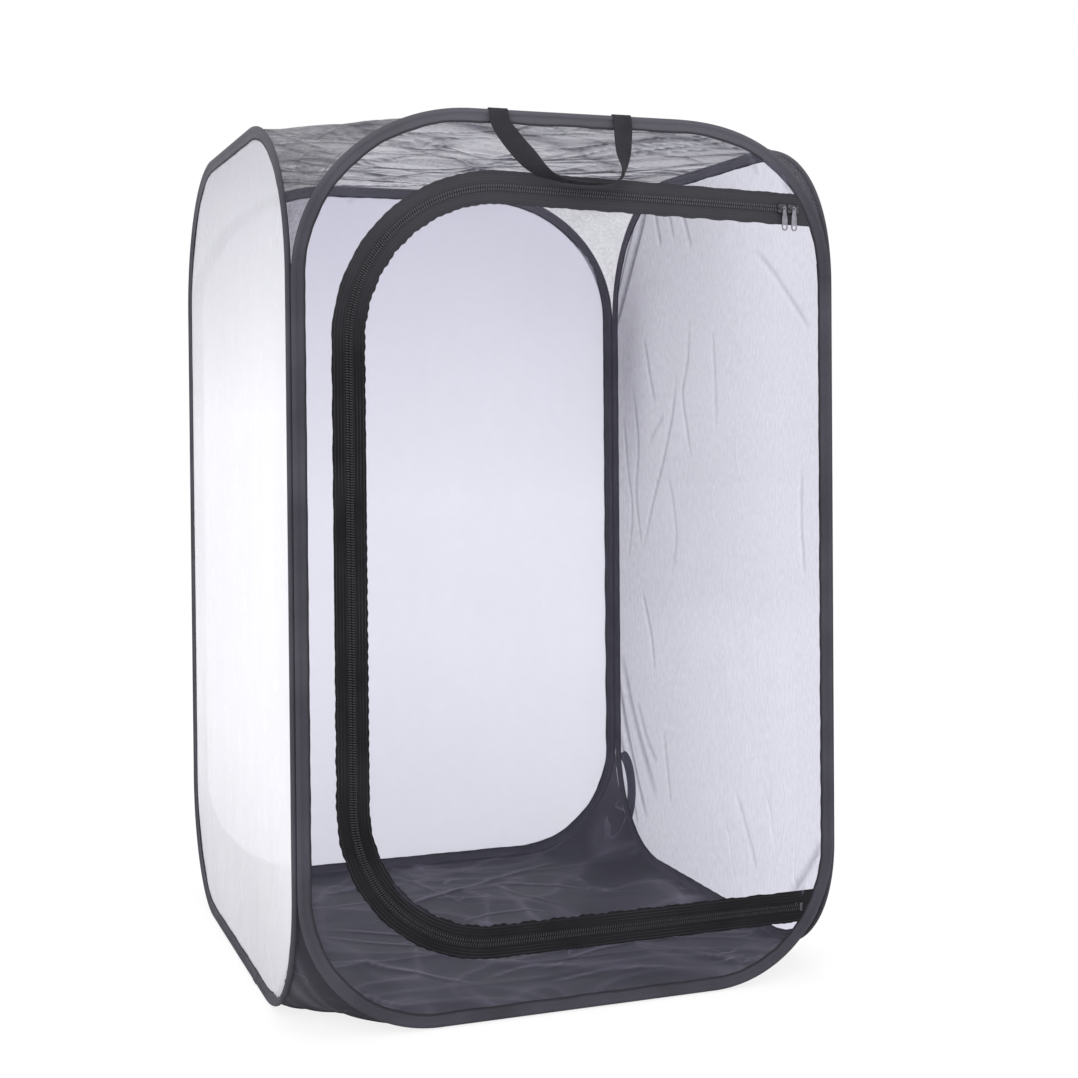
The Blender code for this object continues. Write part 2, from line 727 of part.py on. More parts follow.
def build_slider(name, place, material, axis):
    """The body tapers from its wide nose to its tail; a crown of two posts and a bar stands on it."""
    stations = ((-0.5, SLIDER_NOSE_SHARE), (-0.2, 1.0), (0.5, SLIDER_NOSE_SHARE * SLIDER_NOSE_SHARE))
    bm = bmesh.new()
    rings = []
    normal = (math.sin(ZIP_TOP_SLOPE), math.cos(ZIP_TOP_SLOPE))
    for along_share, flare in stations:
        across = place + along_share * SLIDER_LENGTH
        height = zip_line_height(across)
        ring = []
        for away, out in slider_profile(flare):
            spot = on_panel("front", across + normal[0] * away, out, height + normal[1] * away)
            ring.append(bm.verts.new(spot))
        rings.append(ring)
    for first, second in zip(rings, rings[1:]):
        for index in range(len(first)):
            after = (index + 1) % len(first)
            bm.faces.new((first[index], first[after], second[after], second[index]))
    bm.faces.new(rings[0])
    bm.faces.new(rings[-1])
    body = add_piece(name, bm, material, axis)
    for index, crown in enumerate(crown_cutters(name, place, material, axis)):
        union = body.modifiers.new("crown_" + str(index), "BOOLEAN")
        union.operation = "UNION"
        union.solver = "EXACT"
        union.object = crown
    return body


def crown_cutters(name, place, material, axis):
    """The crown as one arch: two round posts sunk into the plate, joined by a bar."""
    height = zip_line_height(place)
    sunk = PLATE_FACE - SLIDER_PLATE / 2
    pieces = []
    for sign in (-1, 1):
        across = place + sign * CROWN_POST_SPACING / 2
        post = prism("front", across, zip_line_height(across), CROWN_POST_RADIUS, sunk, CROWN_FACE)
        pieces.append(guide(add_piece(name + "_post_" + str(sign + 1), post, material, axis)))
    bar_half = CROWN_POST_SPACING / 2 + CROWN_POST_RADIUS
    bar_low, bar_high = CROWN_FACE - CROWN_BAR, CROWN_FACE
    outline = [(-bar_half, -CROWN_POST_RADIUS), (bar_half, -CROWN_POST_RADIUS)]
    outline += [(bar_half, CROWN_POST_RADIUS), (-bar_half, CROWN_POST_RADIUS)]
    loop = [(place + across, height + up) for across, up in outline]
    bar = flat_sheet("front", [loop], bar_low, bar_high)
    pieces.append(guide(add_piece(name + "_bar", bar, material, axis)))
    return pieces


def guide(piece):
    piece.hide_render = True
    piece.display_type = "WIRE"
    return piece


def prism(side, across, height, radius, back, face):
    bm = bmesh.new()
    circle = circle_points(radius, CROWN_SIDES)
    verts = [bm.verts.new(on_panel(side, across + a, back, height + h)) for a, h in circle]
    bm.faces.new(verts)
    return thicken(bm, panel_frame(side)[1] * (face - back))


def arc(middle, radius, start, stop, steps):
    points = []
    for step in range(steps + 1):
        angle = start + (stop - start) * step / steps
        points.append((middle[0] + radius * math.cos(angle), middle[1] + radius * math.sin(angle)))
    return points


def build_pull(name, slider_place, post_sign, material, axis):
    """A flat pull: an eye round one crown post, a tab that widens downwards, and a slotted ring at its foot."""
    across = slider_place + post_sign * CROWN_POST_SPACING / 2
    eye_height = zip_line_height(across)
    ring_height = eye_height - PULL_LENGTH + PULL_RING_RADIUS
    quarter = math.pi / 2
    eye_open = math.asin(PULL_NECK_WIDTH / 2 / PULL_EYE_RADIUS)
    eye_middle, ring_middle = (across, eye_height), (across, ring_height)
    outline = arc(eye_middle, PULL_EYE_RADIUS, eye_open - quarter, 3 * quarter - eye_open, PULL_ARC_STEPS + 2)
    sides = []
    for length_share, radius_share in PULL_SIDE_SHARES:
        sides.append((PULL_RING_RADIUS * radius_share, eye_height - PULL_LENGTH * length_share))
    outline += [(across - half, height) for half, height in sides]
    outline += arc(ring_middle, PULL_RING_RADIUS, 2 * quarter, 4 * quarter, PULL_ARC_STEPS + 2)
    outline += [(across + half, height) for half, height in reversed(sides)]
    eye_bore = CROWN_POST_RADIUS + TOUCH_GAP
    eye = [(across + a, eye_height + h) for a, h in circle_points(eye_bore, CROWN_SIDES)]
    slot_top = (across, ring_height + PULL_SLOT_RISE)
    slot = arc(ring_middle, PULL_RING_BORE, 2 * quarter, 4 * quarter, PULL_ARC_STEPS)
    slot += arc(slot_top, PULL_RING_BORE, 0, 2 * quarter, PULL_ARC_STEPS)
    back = PULL_DEPTH - PULL_THICKNESS / 2
    bm = flat_sheet("front", [outline, eye, slot], back, back + PULL_THICKNESS)
    add_piece(name, bm, material, axis, smooth=False)


# Webbing


def build_handle_anchor(name, place, material, axis):
    """The sewn end of the handle: up the bead's front, over the top, and flat along the top net."""
    front = -HALF_DEPTH
    radius = HANDLE_WRAP_RADIUS
    route = [Vector((place, front - radius, WIRE_TOP - HANDLE_LAP))]
    net_clearance = TOP_THICKNESS / 2 + TOUCH_GAP + HANDLE_THICKNESS / 2
    tail_rise = math.asin(net_clearance / radius)
    for step in range(HANDLE_WRAP_STEPS + 1):
        angle = math.pi - (math.pi - tail_rise) * step / HANDLE_WRAP_STEPS
        up = radius * math.sin(angle)
        route.append(Vector((place, front + radius * math.cos(angle), WIRE_TOP + up)))
    route.append(Vector((place, front + radius + HANDLE_TAIL, WIRE_TOP + net_clearance)))
    widths = [Vector((1, 0, 0))] * len(route)
    ribbon(name, route, widths, HANDLE_WIDTH, HANDLE_THICKNESS, material, axis)


def build_handle(material, axis):
    points = []
    turns = []
    for span_share, drop_share, standoff_share, twist_share in HANDLE_ROUTE_SHARES:
        across = HANDLE_LEFT_PLACE + HANDLE_SPAN * span_share
        out = HANDLE_DEPTH + HANDLE_STANDOFF * standoff_share
        height = HANDLE_HINGE_HEIGHT - HANDLE_DROP * drop_share
        points.append(on_panel("front", across, out, height))
        turn = twist_share * math.pi / 2
        side = 1 if span_share < HANDLE_ROUTE_SHARES[HANDLE_TURN_STEP][0] else -1
        turns.append(Vector((math.cos(turn), -side * math.sin(turn), 0)))
    for index, (span_share, *_) in enumerate(HANDLE_ROUTE_SHARES):
        if span_share > HANDLE_ROUTE_SHARES[HANDLE_TURN_STEP][0]:
            turns[index] = -turns[index]
    route = smooth_route(points, HANDLE_SPLIT_STEPS)
    widths = smooth_route(turns, HANDLE_SPLIT_STEPS)
    ribbon("carry_handle", route, widths, HANDLE_WIDTH, HANDLE_THICKNESS, material, axis)


def loop_outward():
    return Vector((math.cos(LOOP_LEAN), math.sin(LOOP_LEAN), 0))


def loop_seat():
    outward = loop_outward()
    return BEAD_RADIUS - TOUCH_GAP - CORNER_INSET * min(outward.x, outward.y)


def loop_root():
    """The line that the loop lifts about, a little way out from its sewn ends."""
    corner = Vector((HALF_WIDTH, HALF_DEPTH, LOOP_TOP))
    return corner + loop_outward() * (loop_seat() + LOOP_FLEX_REACH)


def build_closure_loop(material, axis):
    """A loop of webbing that leans out of the rear right seam, its width square to its own plane."""
    outward = loop_outward()
    across = Vector((outward.y, -outward.x, 0))
    seat = loop_seat()
    corner = Vector((HALF_WIDTH, HALF_DEPTH, 0))
    points = []
    for reach_share, height_share in LOOP_ROUTE_SHARES:
        height = LOOP_FOOT + (LOOP_TOP - LOOP_FOOT) * height_share
        points.append(corner + outward * (seat + LOOP_REACH * reach_share) + Vector((0, 0, height)))
    route = smooth_route(points, LOOP_SPLIT_STEPS)
    widths = [across] * len(route)
    ribbon("closure_loop", route, widths, LOOP_WIDTH, LOOP_THICKNESS, material, axis)


# Top and floor cloths, which run down or up into the corners between the hoops' bends


def cloth_lines(half, reach):
    """Grid lines from one edge to the other, close together in the bends."""
    lines = []
    for step in range(CLOTH_BEND_STEPS + 1):
        angle = math.pi / 2 * step / CLOTH_BEND_STEPS
        lines.append(-half + reach * (1 - math.cos(angle)))
    inner = half - reach
    for step in range(1, CLOTH_MIDDLE_STEPS):
        lines.append(-inner + 2 * inner * step / CLOTH_MIDDLE_STEPS)
    return lines + [-line for line in reversed(lines[: CLOTH_BEND_STEPS + 1])]


def corner_drop(x, y, half_x, half_y, reach, drop, fullness=BEND_FULLNESS):
    """How far the cloth leaves its flat middle on straight lines drawn between two neighbour bends."""
    from_corner = (half_x - abs(x)) / reach + (half_y - abs(y)) / reach
    if from_corner >= 1:
        return 0.0
    return drop * (1 - (1 - (1 - max(0.0, from_corner)) ** fullness) ** (1 / fullness))


def build_cloth(name, reach, edge_inset, height_at, thickness, material, axis):
    half_x = HALF_WIDTH - edge_inset
    half_y = HALF_DEPTH - edge_inset
    reach += CORNER_INSET - edge_inset
    bm = bmesh.new()
    rows = []
    for y in cloth_lines(half_y, reach):
        row = [(x, y, height_at(x, y, half_x, half_y, reach)) for x in cloth_lines(half_x, reach)]
        rows.append([bm.verts.new(point) for point in row])
    for row, next_row in zip(rows, rows[1:]):
        for index in range(len(row) - 1):
            bm.faces.new((row[index], row[index + 1], next_row[index + 1], next_row[index]))
    piece = add_piece(name, bm, material, axis)
    solidify(piece, thickness)


def top_height(x, y, half_x, half_y, reach):
    """The top net sags between the hoops and lies in long folds from side to side."""
    middle_share = (1 - (x / half_x) ** 2) * (1 - (y / half_y) ** 2)
    phase = y / half_y + TOP_FOLD_SKEW_SHARE * (x / half_x) ** 2
    fold = TOP_FOLD_HEIGHT * math.sin(math.pi * TOP_FOLD_COUNT * phase)
    flat = WIRE_TOP - middle_share * (TOP_SAG + fold)
    fullness = FRONT_RIGHT_FULLNESS if x > 0 and y < 0 else BEND_FULLNESS
    return flat - corner_drop(x, y, half_x, half_y, reach, TOP_BEND_DROP, fullness)


def floor_height(x, y, half_x, half_y, reach):
    """The floor cloth lies flat and turns up to the hoops at its edges and corners."""
    nearest_edge = min(half_x - abs(x), half_y - abs(y))
    turn_up = max(0.0, 1 - nearest_edge / FLOOR_EDGE_REACH) ** 2
    flat = FLOOR_THICKNESS / 2 + (WIRE_FOOT - FLOOR_THICKNESS / 2) * turn_up
    return flat + corner_drop(x, y, half_x, half_y, reach, FOOT_BEND_RISE)


# The whole cage


def build_side(side, panel_name, cloths, axis):
    build_wire(side, cloths["wire"], axis)
    build_sleeve(side, cloths["sleeve"], axis)
    build_binding(side, cloths["binding"], axis)
    if panel_name:
        build_panel(side, panel_name, cloths["panel"], axis)


def slider_axis(name, place, parent):
    spot = on_panel("front", place, PLATE_BACK, zip_line_height(place))
    return make_axis(name, spot, parent)


def pull_axis(name, place, post_sign, parent):
    across = place + post_sign * CROWN_POST_SPACING / 2
    return make_axis(name, on_panel("front", across, PULL_DEPTH, zip_line_height(across)), parent)


def build_cage():
    clear_scene()
    wire = make_material("spring_steel", (0.36, 0.36, 0.38), 0.35, 1.0)
    sleeve = make_material("crimped_sleeve", (0.55, 0.54, 0.52), 0.40, 1.0)
    binding = make_material("binding_cloth", (0.075, 0.072, 0.088), 0.70)
    film = make_material("clear_film", (0.88, 0.86, 0.96), 0.15)
    net = make_material("black_net", (0.10, 0.10, 0.12), 0.80)
    floor_cloth = make_material("floor_cloth", (0.065, 0.062, 0.082), 0.75)
    tape = make_material("zip_tape", (0.020, 0.020, 0.024), 0.85)
    coil = make_material("zip_coil", (0.035, 0.035, 0.040), 0.45)
    metal = make_material("slider_metal", (0.22, 0.21, 0.25), 0.35, 1.0)
    webbing = make_material("webbing", (0.024, 0.023, 0.028), 0.80)

    cage = make_axis("cage_middle", (0, 0, 0))
    front_left = (-HALF_WIDTH + FOLD_RADIUS, -HALF_DEPTH + FOLD_RADIUS, 0)
    left = make_axis("front_left_seam", front_left, cage)
    right = make_axis("front_right_seam", (HALF_WIDTH, -HALF_DEPTH, 0), cage)
    rear_right = (HALF_WIDTH - FOLD_RADIUS, HALF_DEPTH - FOLD_RADIUS, 0)
    rear = make_axis("rear_right_seam", rear_right, right)
    door = make_axis("door_hinge", DOOR_HINGE_AXIS, cage)
    hinge_spot = on_panel("front", HANDLE_LEFT_PLACE + HANDLE_SPAN / 2, HANDLE_DEPTH, HANDLE_HINGE_HEIGHT)
    handle = make_axis("handle_hinge", hinge_spot, cage)
    loop = make_axis("closure_loop_root", loop_root(), right)
    trailing = slider_axis("trailing_slider_run", TRAILING_PLACE, cage)
    leading = slider_axis("leading_slider_run", LEADING_PLACE, trailing)
    trailing_pull = pull_axis("trailing_pull_post", TRAILING_PLACE, 1, trailing)
    leading_pull = pull_axis("leading_pull_post", LEADING_PLACE, 1, leading)

    cloths = {"wire": wire, "sleeve": sleeve, "binding": binding, "panel": film}
    build_side("front", "", cloths, cage)
    build_side("left", "left_film", cloths, left)
    build_side("rear", "rear_film", cloths, rear)
    cloths["panel"] = net
    build_side("right", "right_net", cloths, right)
    build_lap("front", side_lap_path("front"), binding, cage)
    build_lap("left", foot_lap_path(LEFT_LAP_PLACE), binding, left)
    build_lap("rear", foot_lap_path(REAR_LAP_PLACE), binding, rear)
    build_lap("right", foot_lap_path(RIGHT_LAP_PLACE), binding, right)

    build_front_net(net, cage)
    build_door_net(net, door)
    build_zip(tape, coil, cage, door)
    build_stops(metal, cage)
    build_slider("leading_slider", LEADING_PLACE, metal, leading)
    build_slider("trailing_slider", TRAILING_PLACE, metal, trailing)
    build_pull("leading_pull", LEADING_PLACE, 1, metal, leading_pull)
    build_pull("trailing_pull", TRAILING_PLACE, 1, metal, trailing_pull)

    build_handle_anchor("handle_left_end", HANDLE_LEFT_PLACE, webbing, cage)
    build_handle_anchor("handle_right_end", HANDLE_LEFT_PLACE + HANDLE_SPAN, webbing, cage)
    build_handle(webbing, handle)
    build_closure_loop(webbing, loop)

    build_cloth("top_net", TOP_BEND_REACH, TOP_EDGE_INSET, top_height, TOP_THICKNESS, net, cage)
    floor_shape = (FOOT_BEND_REACH, FLOOR_EDGE_INSET, floor_height, FLOOR_THICKNESS)
    build_cloth("floor_cloth", *floor_shape, floor_cloth, cage)


build_cage()
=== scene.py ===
import math

import bpy
import numpy as np
from mathutils import Matrix, Vector, noise


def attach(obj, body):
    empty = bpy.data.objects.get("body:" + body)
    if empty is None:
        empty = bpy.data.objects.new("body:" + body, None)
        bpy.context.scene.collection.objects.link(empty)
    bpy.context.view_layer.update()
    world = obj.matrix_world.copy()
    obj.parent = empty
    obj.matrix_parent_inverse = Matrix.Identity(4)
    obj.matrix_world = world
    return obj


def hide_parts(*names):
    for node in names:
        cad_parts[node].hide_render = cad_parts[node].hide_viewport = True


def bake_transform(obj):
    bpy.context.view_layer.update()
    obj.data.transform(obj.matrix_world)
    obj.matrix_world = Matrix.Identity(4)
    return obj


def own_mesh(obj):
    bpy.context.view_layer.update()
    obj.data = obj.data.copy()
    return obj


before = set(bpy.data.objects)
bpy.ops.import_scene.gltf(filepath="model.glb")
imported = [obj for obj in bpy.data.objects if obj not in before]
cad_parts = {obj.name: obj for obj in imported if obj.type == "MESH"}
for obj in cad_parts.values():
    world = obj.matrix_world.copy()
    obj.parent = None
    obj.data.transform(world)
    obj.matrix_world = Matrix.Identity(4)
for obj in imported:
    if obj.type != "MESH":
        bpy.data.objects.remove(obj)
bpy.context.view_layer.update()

quarter = math.pi / 2

# Sizes in metres. X runs to the right, Y to the back and Z up; the front net lies at -halfDepth.
cage = {
    "halfWidth": 0.290,
    "halfDepth": 0.300,
    "cornerInset": 0.004596,
    "wireTop": 0.8969,
    "wireFoot": 0.0038,
    "topReach": 0.178,
    "topDrop": 0.167,
    "footReach": 0.137,
    "footRise": 0.139,
    "fullness": 2.0,
    "frontRightFullness": 2.3,
    "panelTuck": 0.0031,
    "clothInset": 0.0030,
    "middle": 0.45,
}

# How each panel stands: along its width, outward, its middle, half its width and the body it rides
panels = {
    "front": ((1, 0, 0), (0, -1, 0), (0, -0.30, 0), 0.285404, "front_panel"),
    "rear": ((1, 0, 0), (0, 1, 0), (0, 0.30, 0), 0.285404, "rear_panel"),
    "left": ((0, 1, 0), (-1, 0, 0), (-0.29, 0, 0), 0.295404, "left_panel"),
    "right": ((0, 1, 0), (1, 0, 0), (0.29, 0, 0), 0.295404, "right_panel"),
}

# The zip's middle line round the door, and the line that the door hinges on
zipRun = {
    "left": -0.2335,
    "top": 0.8235,
    "foot": 0.0785,
    "topBend": 0.154,
    "footBend": 0.144,
    "slope": math.radians(2.0),
    "hinge": 0.2245,
    "netSetback": 0.0050,
}


# Paths


def onPanel(side, across, out, height):
    along, outward, middle = (np.array(v, float) for v in panels[side][:3])
    across, out, height = np.broadcast_arrays(across, out, height)
    up = np.array((0.0, 0.0, 1.0))
    return middle + across[..., None] * along + out[..., None] * outward + height[..., None] * up


def roundBend(middle, reach, rise, start, stop, fullness, steps=72):
    angle = np.linspace(start, stop, steps)
    run = np.sign(np.cos(angle)) * np.abs(np.cos(angle)) ** (2 / fullness)
    climb = np.sign(np.sin(angle)) * np.abs(np.sin(angle)) ** (2 / fullness)
    return np.stack([middle[0] + reach * run, middle[1] + rise * climb], axis=1)


def lengthAlong(line):
    return np.concatenate([[0], np.cumsum(np.linalg.norm(np.diff(line, axis=0), axis=1))])


def evenly(line, spacing, closed=False):
    # Stations at even steps along a line: their places, outward normals and the length so far
    if closed:
        line = np.vstack([line, line[:1]])
    steps = np.linalg.norm(np.diff(line, axis=0), axis=1)
    line = line[np.concatenate([[True], steps > 1e-7])]
    length = lengthAlong(line)
    at = np.linspace(0, length[-1], max(2, round(length[-1] / spacing)) + 1)
    if closed:
        at = at[:-1]
    spot = np.stack([np.interp(at, length, line[:, k]) for k in (0, 1)], axis=1)
    ahead = np.roll(spot, -1, axis=0) - np.roll(spot, 1, axis=0) if closed else np.gradient(spot, axis=0)
    ahead /= np.linalg.norm(ahead, axis=1)[:, None]
    normal = np.stack([ahead[:, 1], -ahead[:, 0]], axis=1)
    return {"spot": spot, "normal": normal, "length": at, "total": length[-1], "closed": closed}


def hoopLine(side):
    half = panels[side][3]
    top = (half - cage["topReach"], cage["wireTop"] - cage["topDrop"])
    foot = (half - cage["footReach"], cage["wireFoot"] + cage["footRise"])
    far = cage["frontRightFullness"] if side == "front" else cage["fullness"]
    near = cage["frontRightFullness"] if side == "right" else cage["fullness"]
    topBend = (cage["topReach"], cage["topDrop"])
    footBend = (cage["footReach"], cage["footRise"])
    return np.vstack([
        roundBend(top, *topBend, 0, quarter, far),
        roundBend((-top[0], top[1]), *topBend, quarter, 2 * quarter, near),
        roundBend((-foot[0], foot[1]), *footBend, 2 * quarter, 3 * quarter, cage["fullness"]),
        roundBend(foot, *footBend, 3 * quarter, 4 * quarter, cage["fullness"]),
    ])


def zipHeight(across):
    start = zipRun["left"] + zipRun["topBend"] * (1 + math.sin(zipRun["slope"]))
    level = zipRun["top"] - zipRun["topBend"] * (1 - math.cos(zipRun["slope"]))
    return level - math.tan(zipRun["slope"]) * (np.asarray(across) - start)


def zipLine(end):
    # From its lower right end, round the left of the door, to its upper right end
    bendTop, bendFoot = zipRun["topBend"], zipRun["footBend"]
    top = (zipRun["left"] + bendTop, zipRun["top"] - bendTop)
    foot = (zipRun["left"] + bendFoot, zipRun["foot"] + bendFoot)
    return np.vstack([
        [(end, zipRun["foot"])],
        roundBend(foot, bendFoot, bendFoot, 3 * quarter, 2 * quarter, 2.0),
        roundBend(top, bendTop, bendTop, 2 * quarter, quarter - zipRun["slope"], 2.0),
        [(end, float(zipHeight(end)))],
    ])


def shifted(stations, away):
    # Across and height of the places beside a path, by one distance or by a row of them at each station
    spot, normal = stations["spot"], stations["normal"]
    if np.ndim(away):
        spot, normal, away = spot[:, None], normal[:, None], away[..., None]
    return np.moveaxis(spot + normal * away, -1, 0)


def wander(length, total, seed, waves):
    # Small waves along a run. Whole numbers of them fit it, so that a closed run has no step.
    chance = np.random.default_rng(seed)
    result = np.zeros_like(length)
    for waveLength, depth in waves:
        count = max(2, round(total / waveLength))
        for extra in (-1, 0, 1, 3):
            turn = 2 * math.pi * ((count + extra) * length / total + chance.random())
            result += depth * 0.4 * np.sin(turn)
    return result


def smoothRoute(points, splits):
    # A smooth curve through rows of numbers, with each span split evenly
    points = np.asarray(points, float)
    route = []
    for index in range(len(points) - 1):
        before, start = points[max(index - 1, 0)], points[index]
        end, after = points[index + 1], points[min(index + 2, len(points) - 1)]
        t = np.linspace(0, 1, splits, endpoint=False)[:, None]
        pull = (end - before) * t + (2 * before - 5 * start + 4 * end - after) * t ** 2
        route.append(start + (pull + (3 * start - before - 3 * end + after) * t ** 3) / 2)
    route.append(points[-1:])
    return np.vstack(route)


def inMetres(folds):
    # Folds are written in millimetres as (half width, depth, then each point's two places)
    return [(np.reshape(spots, (-1, 2)) / 1000, width / 1000, depth) for width, depth, *spots in folds]


def foldField(across, height, folds):
    # How near each place lies to one of the folds, which run through their points and fade at both ends
    field = np.zeros_like(across)
    for points, width, depth in folds:
        line = smoothRoute(points, 8)
        gap, along = np.full(across.shape, 1.0), np.zeros_like(across)
        for index in range(len(line) - 1):
            start, run = line[index], line[index + 1] - line[index]
            share = ((across - start[0]) * run[0] + (height - start[1]) * run[1]) / run.dot(run)
            share = np.clip(share, 0, 1)
            reach = np.hypot(across - start[0] - share * run[0], height - start[1] - share * run[1])
            along = np.where(reach < gap, (index + share) / (len(line) - 1), along)
            gap = np.minimum(gap, reach)
        ends = np.clip(6 * along * (1 - along), 0, 1)
        field = np.maximum(field, depth * ends * np.exp(-(gap / width) ** 2))
    return field


def crumple(u, v, seed):
    values = [noise.noise((a, b, seed)) for a, b in zip(np.ravel(u), np.ravel(v))]
    return np.array(values).reshape(np.shape(u))


def ridges(u, v, seed, sharpness):
    # 1 on thin winding lines and 0 between them
    return np.exp(-np.abs(crumple(u, v, seed)) * sharpness)


def easeIn(value):
    value = np.clip(value, 0, 1)
    return value * value * (3 - 2 * value)


# Meshes


def gridFaces(rows, columns, closedRows=False, closedColumns=False):
    row, column = np.meshgrid(
        np.arange(rows if closedRows else rows - 1),
        np.arange(columns if closedColumns else columns - 1),
        indexing="ij",
    )
    nextRow, nextColumn = (row + 1) % rows, (column + 1) % columns
    corners = [row * columns + column, row * columns + nextColumn]
    corners += [nextRow * columns + nextColumn, nextRow * columns + column]
    return np.stack(corners, axis=-1).reshape(-1, 4).tolist()


def buildMesh(name, points, faces, uv=None, wrap=0.0, foldsAndShading=None):
    # wrap is the length of a closed run, whose last faces then go on past its end
    mesh = bpy.data.meshes.new(name)
    mesh.from_pydata(np.asarray(points).reshape(-1, 3).tolist(), [], faces)
    mesh.shade_smooth()
    if uv is not None:
        corners = np.empty(len(mesh.loops), np.int64)
        mesh.loops.foreach_get("vertex_index", corners)
        spots = np.asarray(uv, float).reshape(-1, 2)[corners]
        if wrap:
            first = spots[:, 0].reshape(-1, 4)
            jump = first.max(axis=1, keepdims=True) - first > wrap / 2
            spots[:, 0] = np.where(jump, first + wrap, first).reshape(-1)
        layer = mesh.uv_layers.new(name="cloth")
        layer.data.foreach_set("uv", spots.reshape(-1).astype(np.float32))
    # A value per point that marks the folds and carries their painted light and shade
    if foldsAndShading is not None:
        attribute = mesh.attributes.new("foldsAndShading", "FLOAT", "POINT")
        attribute.data.foreach_set("value", np.ravel(foldsAndShading).astype(np.float32))
    piece = bpy.data.objects.new(name, mesh)
    bpy.context.scene.collection.objects.link(piece)
    return piece


def finishPiece(piece, material, body=None, replaced=()):
    piece.data.materials.append(material)
    if replaced:
        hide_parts(*replaced)
    if body:
        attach(piece, body)
    return piece


def runSheet(name, side, stations, across, out, height, around):
    # A sheet that runs along a path, and whose weave follows the path's length
    uv = np.stack(np.broadcast_arrays(stations["length"][:, None], around), axis=-1)
    wrap = stations["total"] if stations["closed"] else 0.0
    faces = gridFaces(*around.shape, stations["closed"])
    return buildMesh(name, onPanel(side, across, out, height), faces, uv, wrap)


def runStrip(name, side, stations, away, out):
    # Carries a profile along a path; away and out are (stations, profile points)
    across, height = shifted(stations, away)
    steps = np.cumsum(np.hypot(np.diff(away), np.diff(out)), axis=1)
    around = np.concatenate([np.zeros((len(away), 1)), steps], axis=1)
    return runSheet(name, side, stations, across, out, height, around)


def ringShape(places, radii, sides):
    # A small closed body along its first axis, for threads and teeth
    turn = np.linspace(0, 2 * math.pi, sides, endpoint=False)
    wide, up = np.cos(turn), np.sin(turn)
    rings = [np.stack([np.full(sides, p), r * wide, r * up], axis=1) for p, r in zip(places, radii)]
    points = np.vstack(rings + [[[places[0], 0, 0]], [[places[-1], 0, 0]]])
    faces = gridFaces(len(places), sides, False, True)
    first, last = len(points) - 2, len(points) - 1
    final = (len(places) - 1) * sides
    faces += [(first, (k + 1) % sides, k) for k in range(sides)]
    faces += [(last, final + k, final + (k + 1) % sides) for k in range(sides)]
    return points, faces


def scatter(name, side, stations, shape, away, out, lengthwise=True, picks=None):
    # Copies of a small shape set at the stations of a path, all in one mesh
    points, faces = shape
    everyPoint, everyFace = [], []
    for order, pick in enumerate(picks or range(len(stations["spot"]))):
        normal = stations["normal"][pick]
        ahead = np.array((-normal[1], normal[0]))
        long, wide = (ahead, normal) if lengthwise else (normal, ahead)
        flat = stations["spot"][pick] + normal * away + points[:, :1] * long + points[:, 1:2] * wide
        everyPoint.append(onPanel(side, flat[:, 0], out + points[:, 2], flat[:, 1]))
        everyFace += [tuple(index + order * len(points) for index in face) for face in faces]
    return buildMesh(name, np.vstack(everyPoint), everyFace)


# Materials

bandSpacing = 0.314  # How far apart the bands of a wave texture of scale 1 lie


def put(tree, kind, inputs=None, output=0, **settings):
    # Adds a node, sets or wires its inputs and gives one of its outputs
    node = tree.nodes.new("ShaderNode" + kind)
    for key, value in settings.items():
        setattr(node, key, value)
    for key, value in (inputs or {}).items():
        if isinstance(value, bpy.types.NodeSocket):
            tree.links.new(value, node.inputs[key])
        else:
            node.inputs[key].default_value = value
    return node.outputs[output] if len(node.outputs) else None


def openMaterial(name):
    material = bpy.data.materials.new(name)
    material.use_nodes = True
    material.node_tree.nodes.clear()
    return material, material.node_tree


def close(tree, shader):
    put(tree, "OutputMaterial", {"Surface": shader})


def tone(colour):
    return (*colour, 1.0)


def combine(tree, first, second, operation="ADD"):
    return put(tree, "Math", {0: first, 1: second}, operation=operation)


def spread(tree, value, low, high, first=0.0, last=1.0):
    inputs = {"Value": value, "From Min": low, "From Max": high, "To Min": first, "To Max": last}
    return put(tree, "MapRange", inputs)


def mixTone(tree, share, first, second):
    first, second = (c if isinstance(c, bpy.types.NodeSocket) else tone(c) for c in (first, second))
    return put(tree, "Mix", {0: share, 6: first, 7: second}, 2, data_type="RGBA")


def weaveHeight(tree, pitch, vector):
    # Threads both ways, 0 in the gaps and 1 on the threads
    inputs = {"Vector": vector, "Scale": bandSpacing / pitch}
    bands = [put(tree, "TexWave", inputs, "Fac", bands_direction=direction) for direction in ("X", "Y")]
    return combine(tree, *bands, "MAXIMUM")


def blotches(tree, place, scale, low, high, detail=3.0):
    fleck = put(tree, "TexNoise", {"Vector": place, "Scale": scale, "Detail": detail})
    return spread(tree, fleck, 0.3, 0.7, low, high)


def twoTone(tree, place, scale, look):
    return mixTone(tree, blotches(tree, place, scale, 0.0, 1.0), look["dark"], look["light"])


def foldsAndShadingOf(tree):
    return put(tree, "Attribute", output="Fac", attribute_name="foldsAndShading")


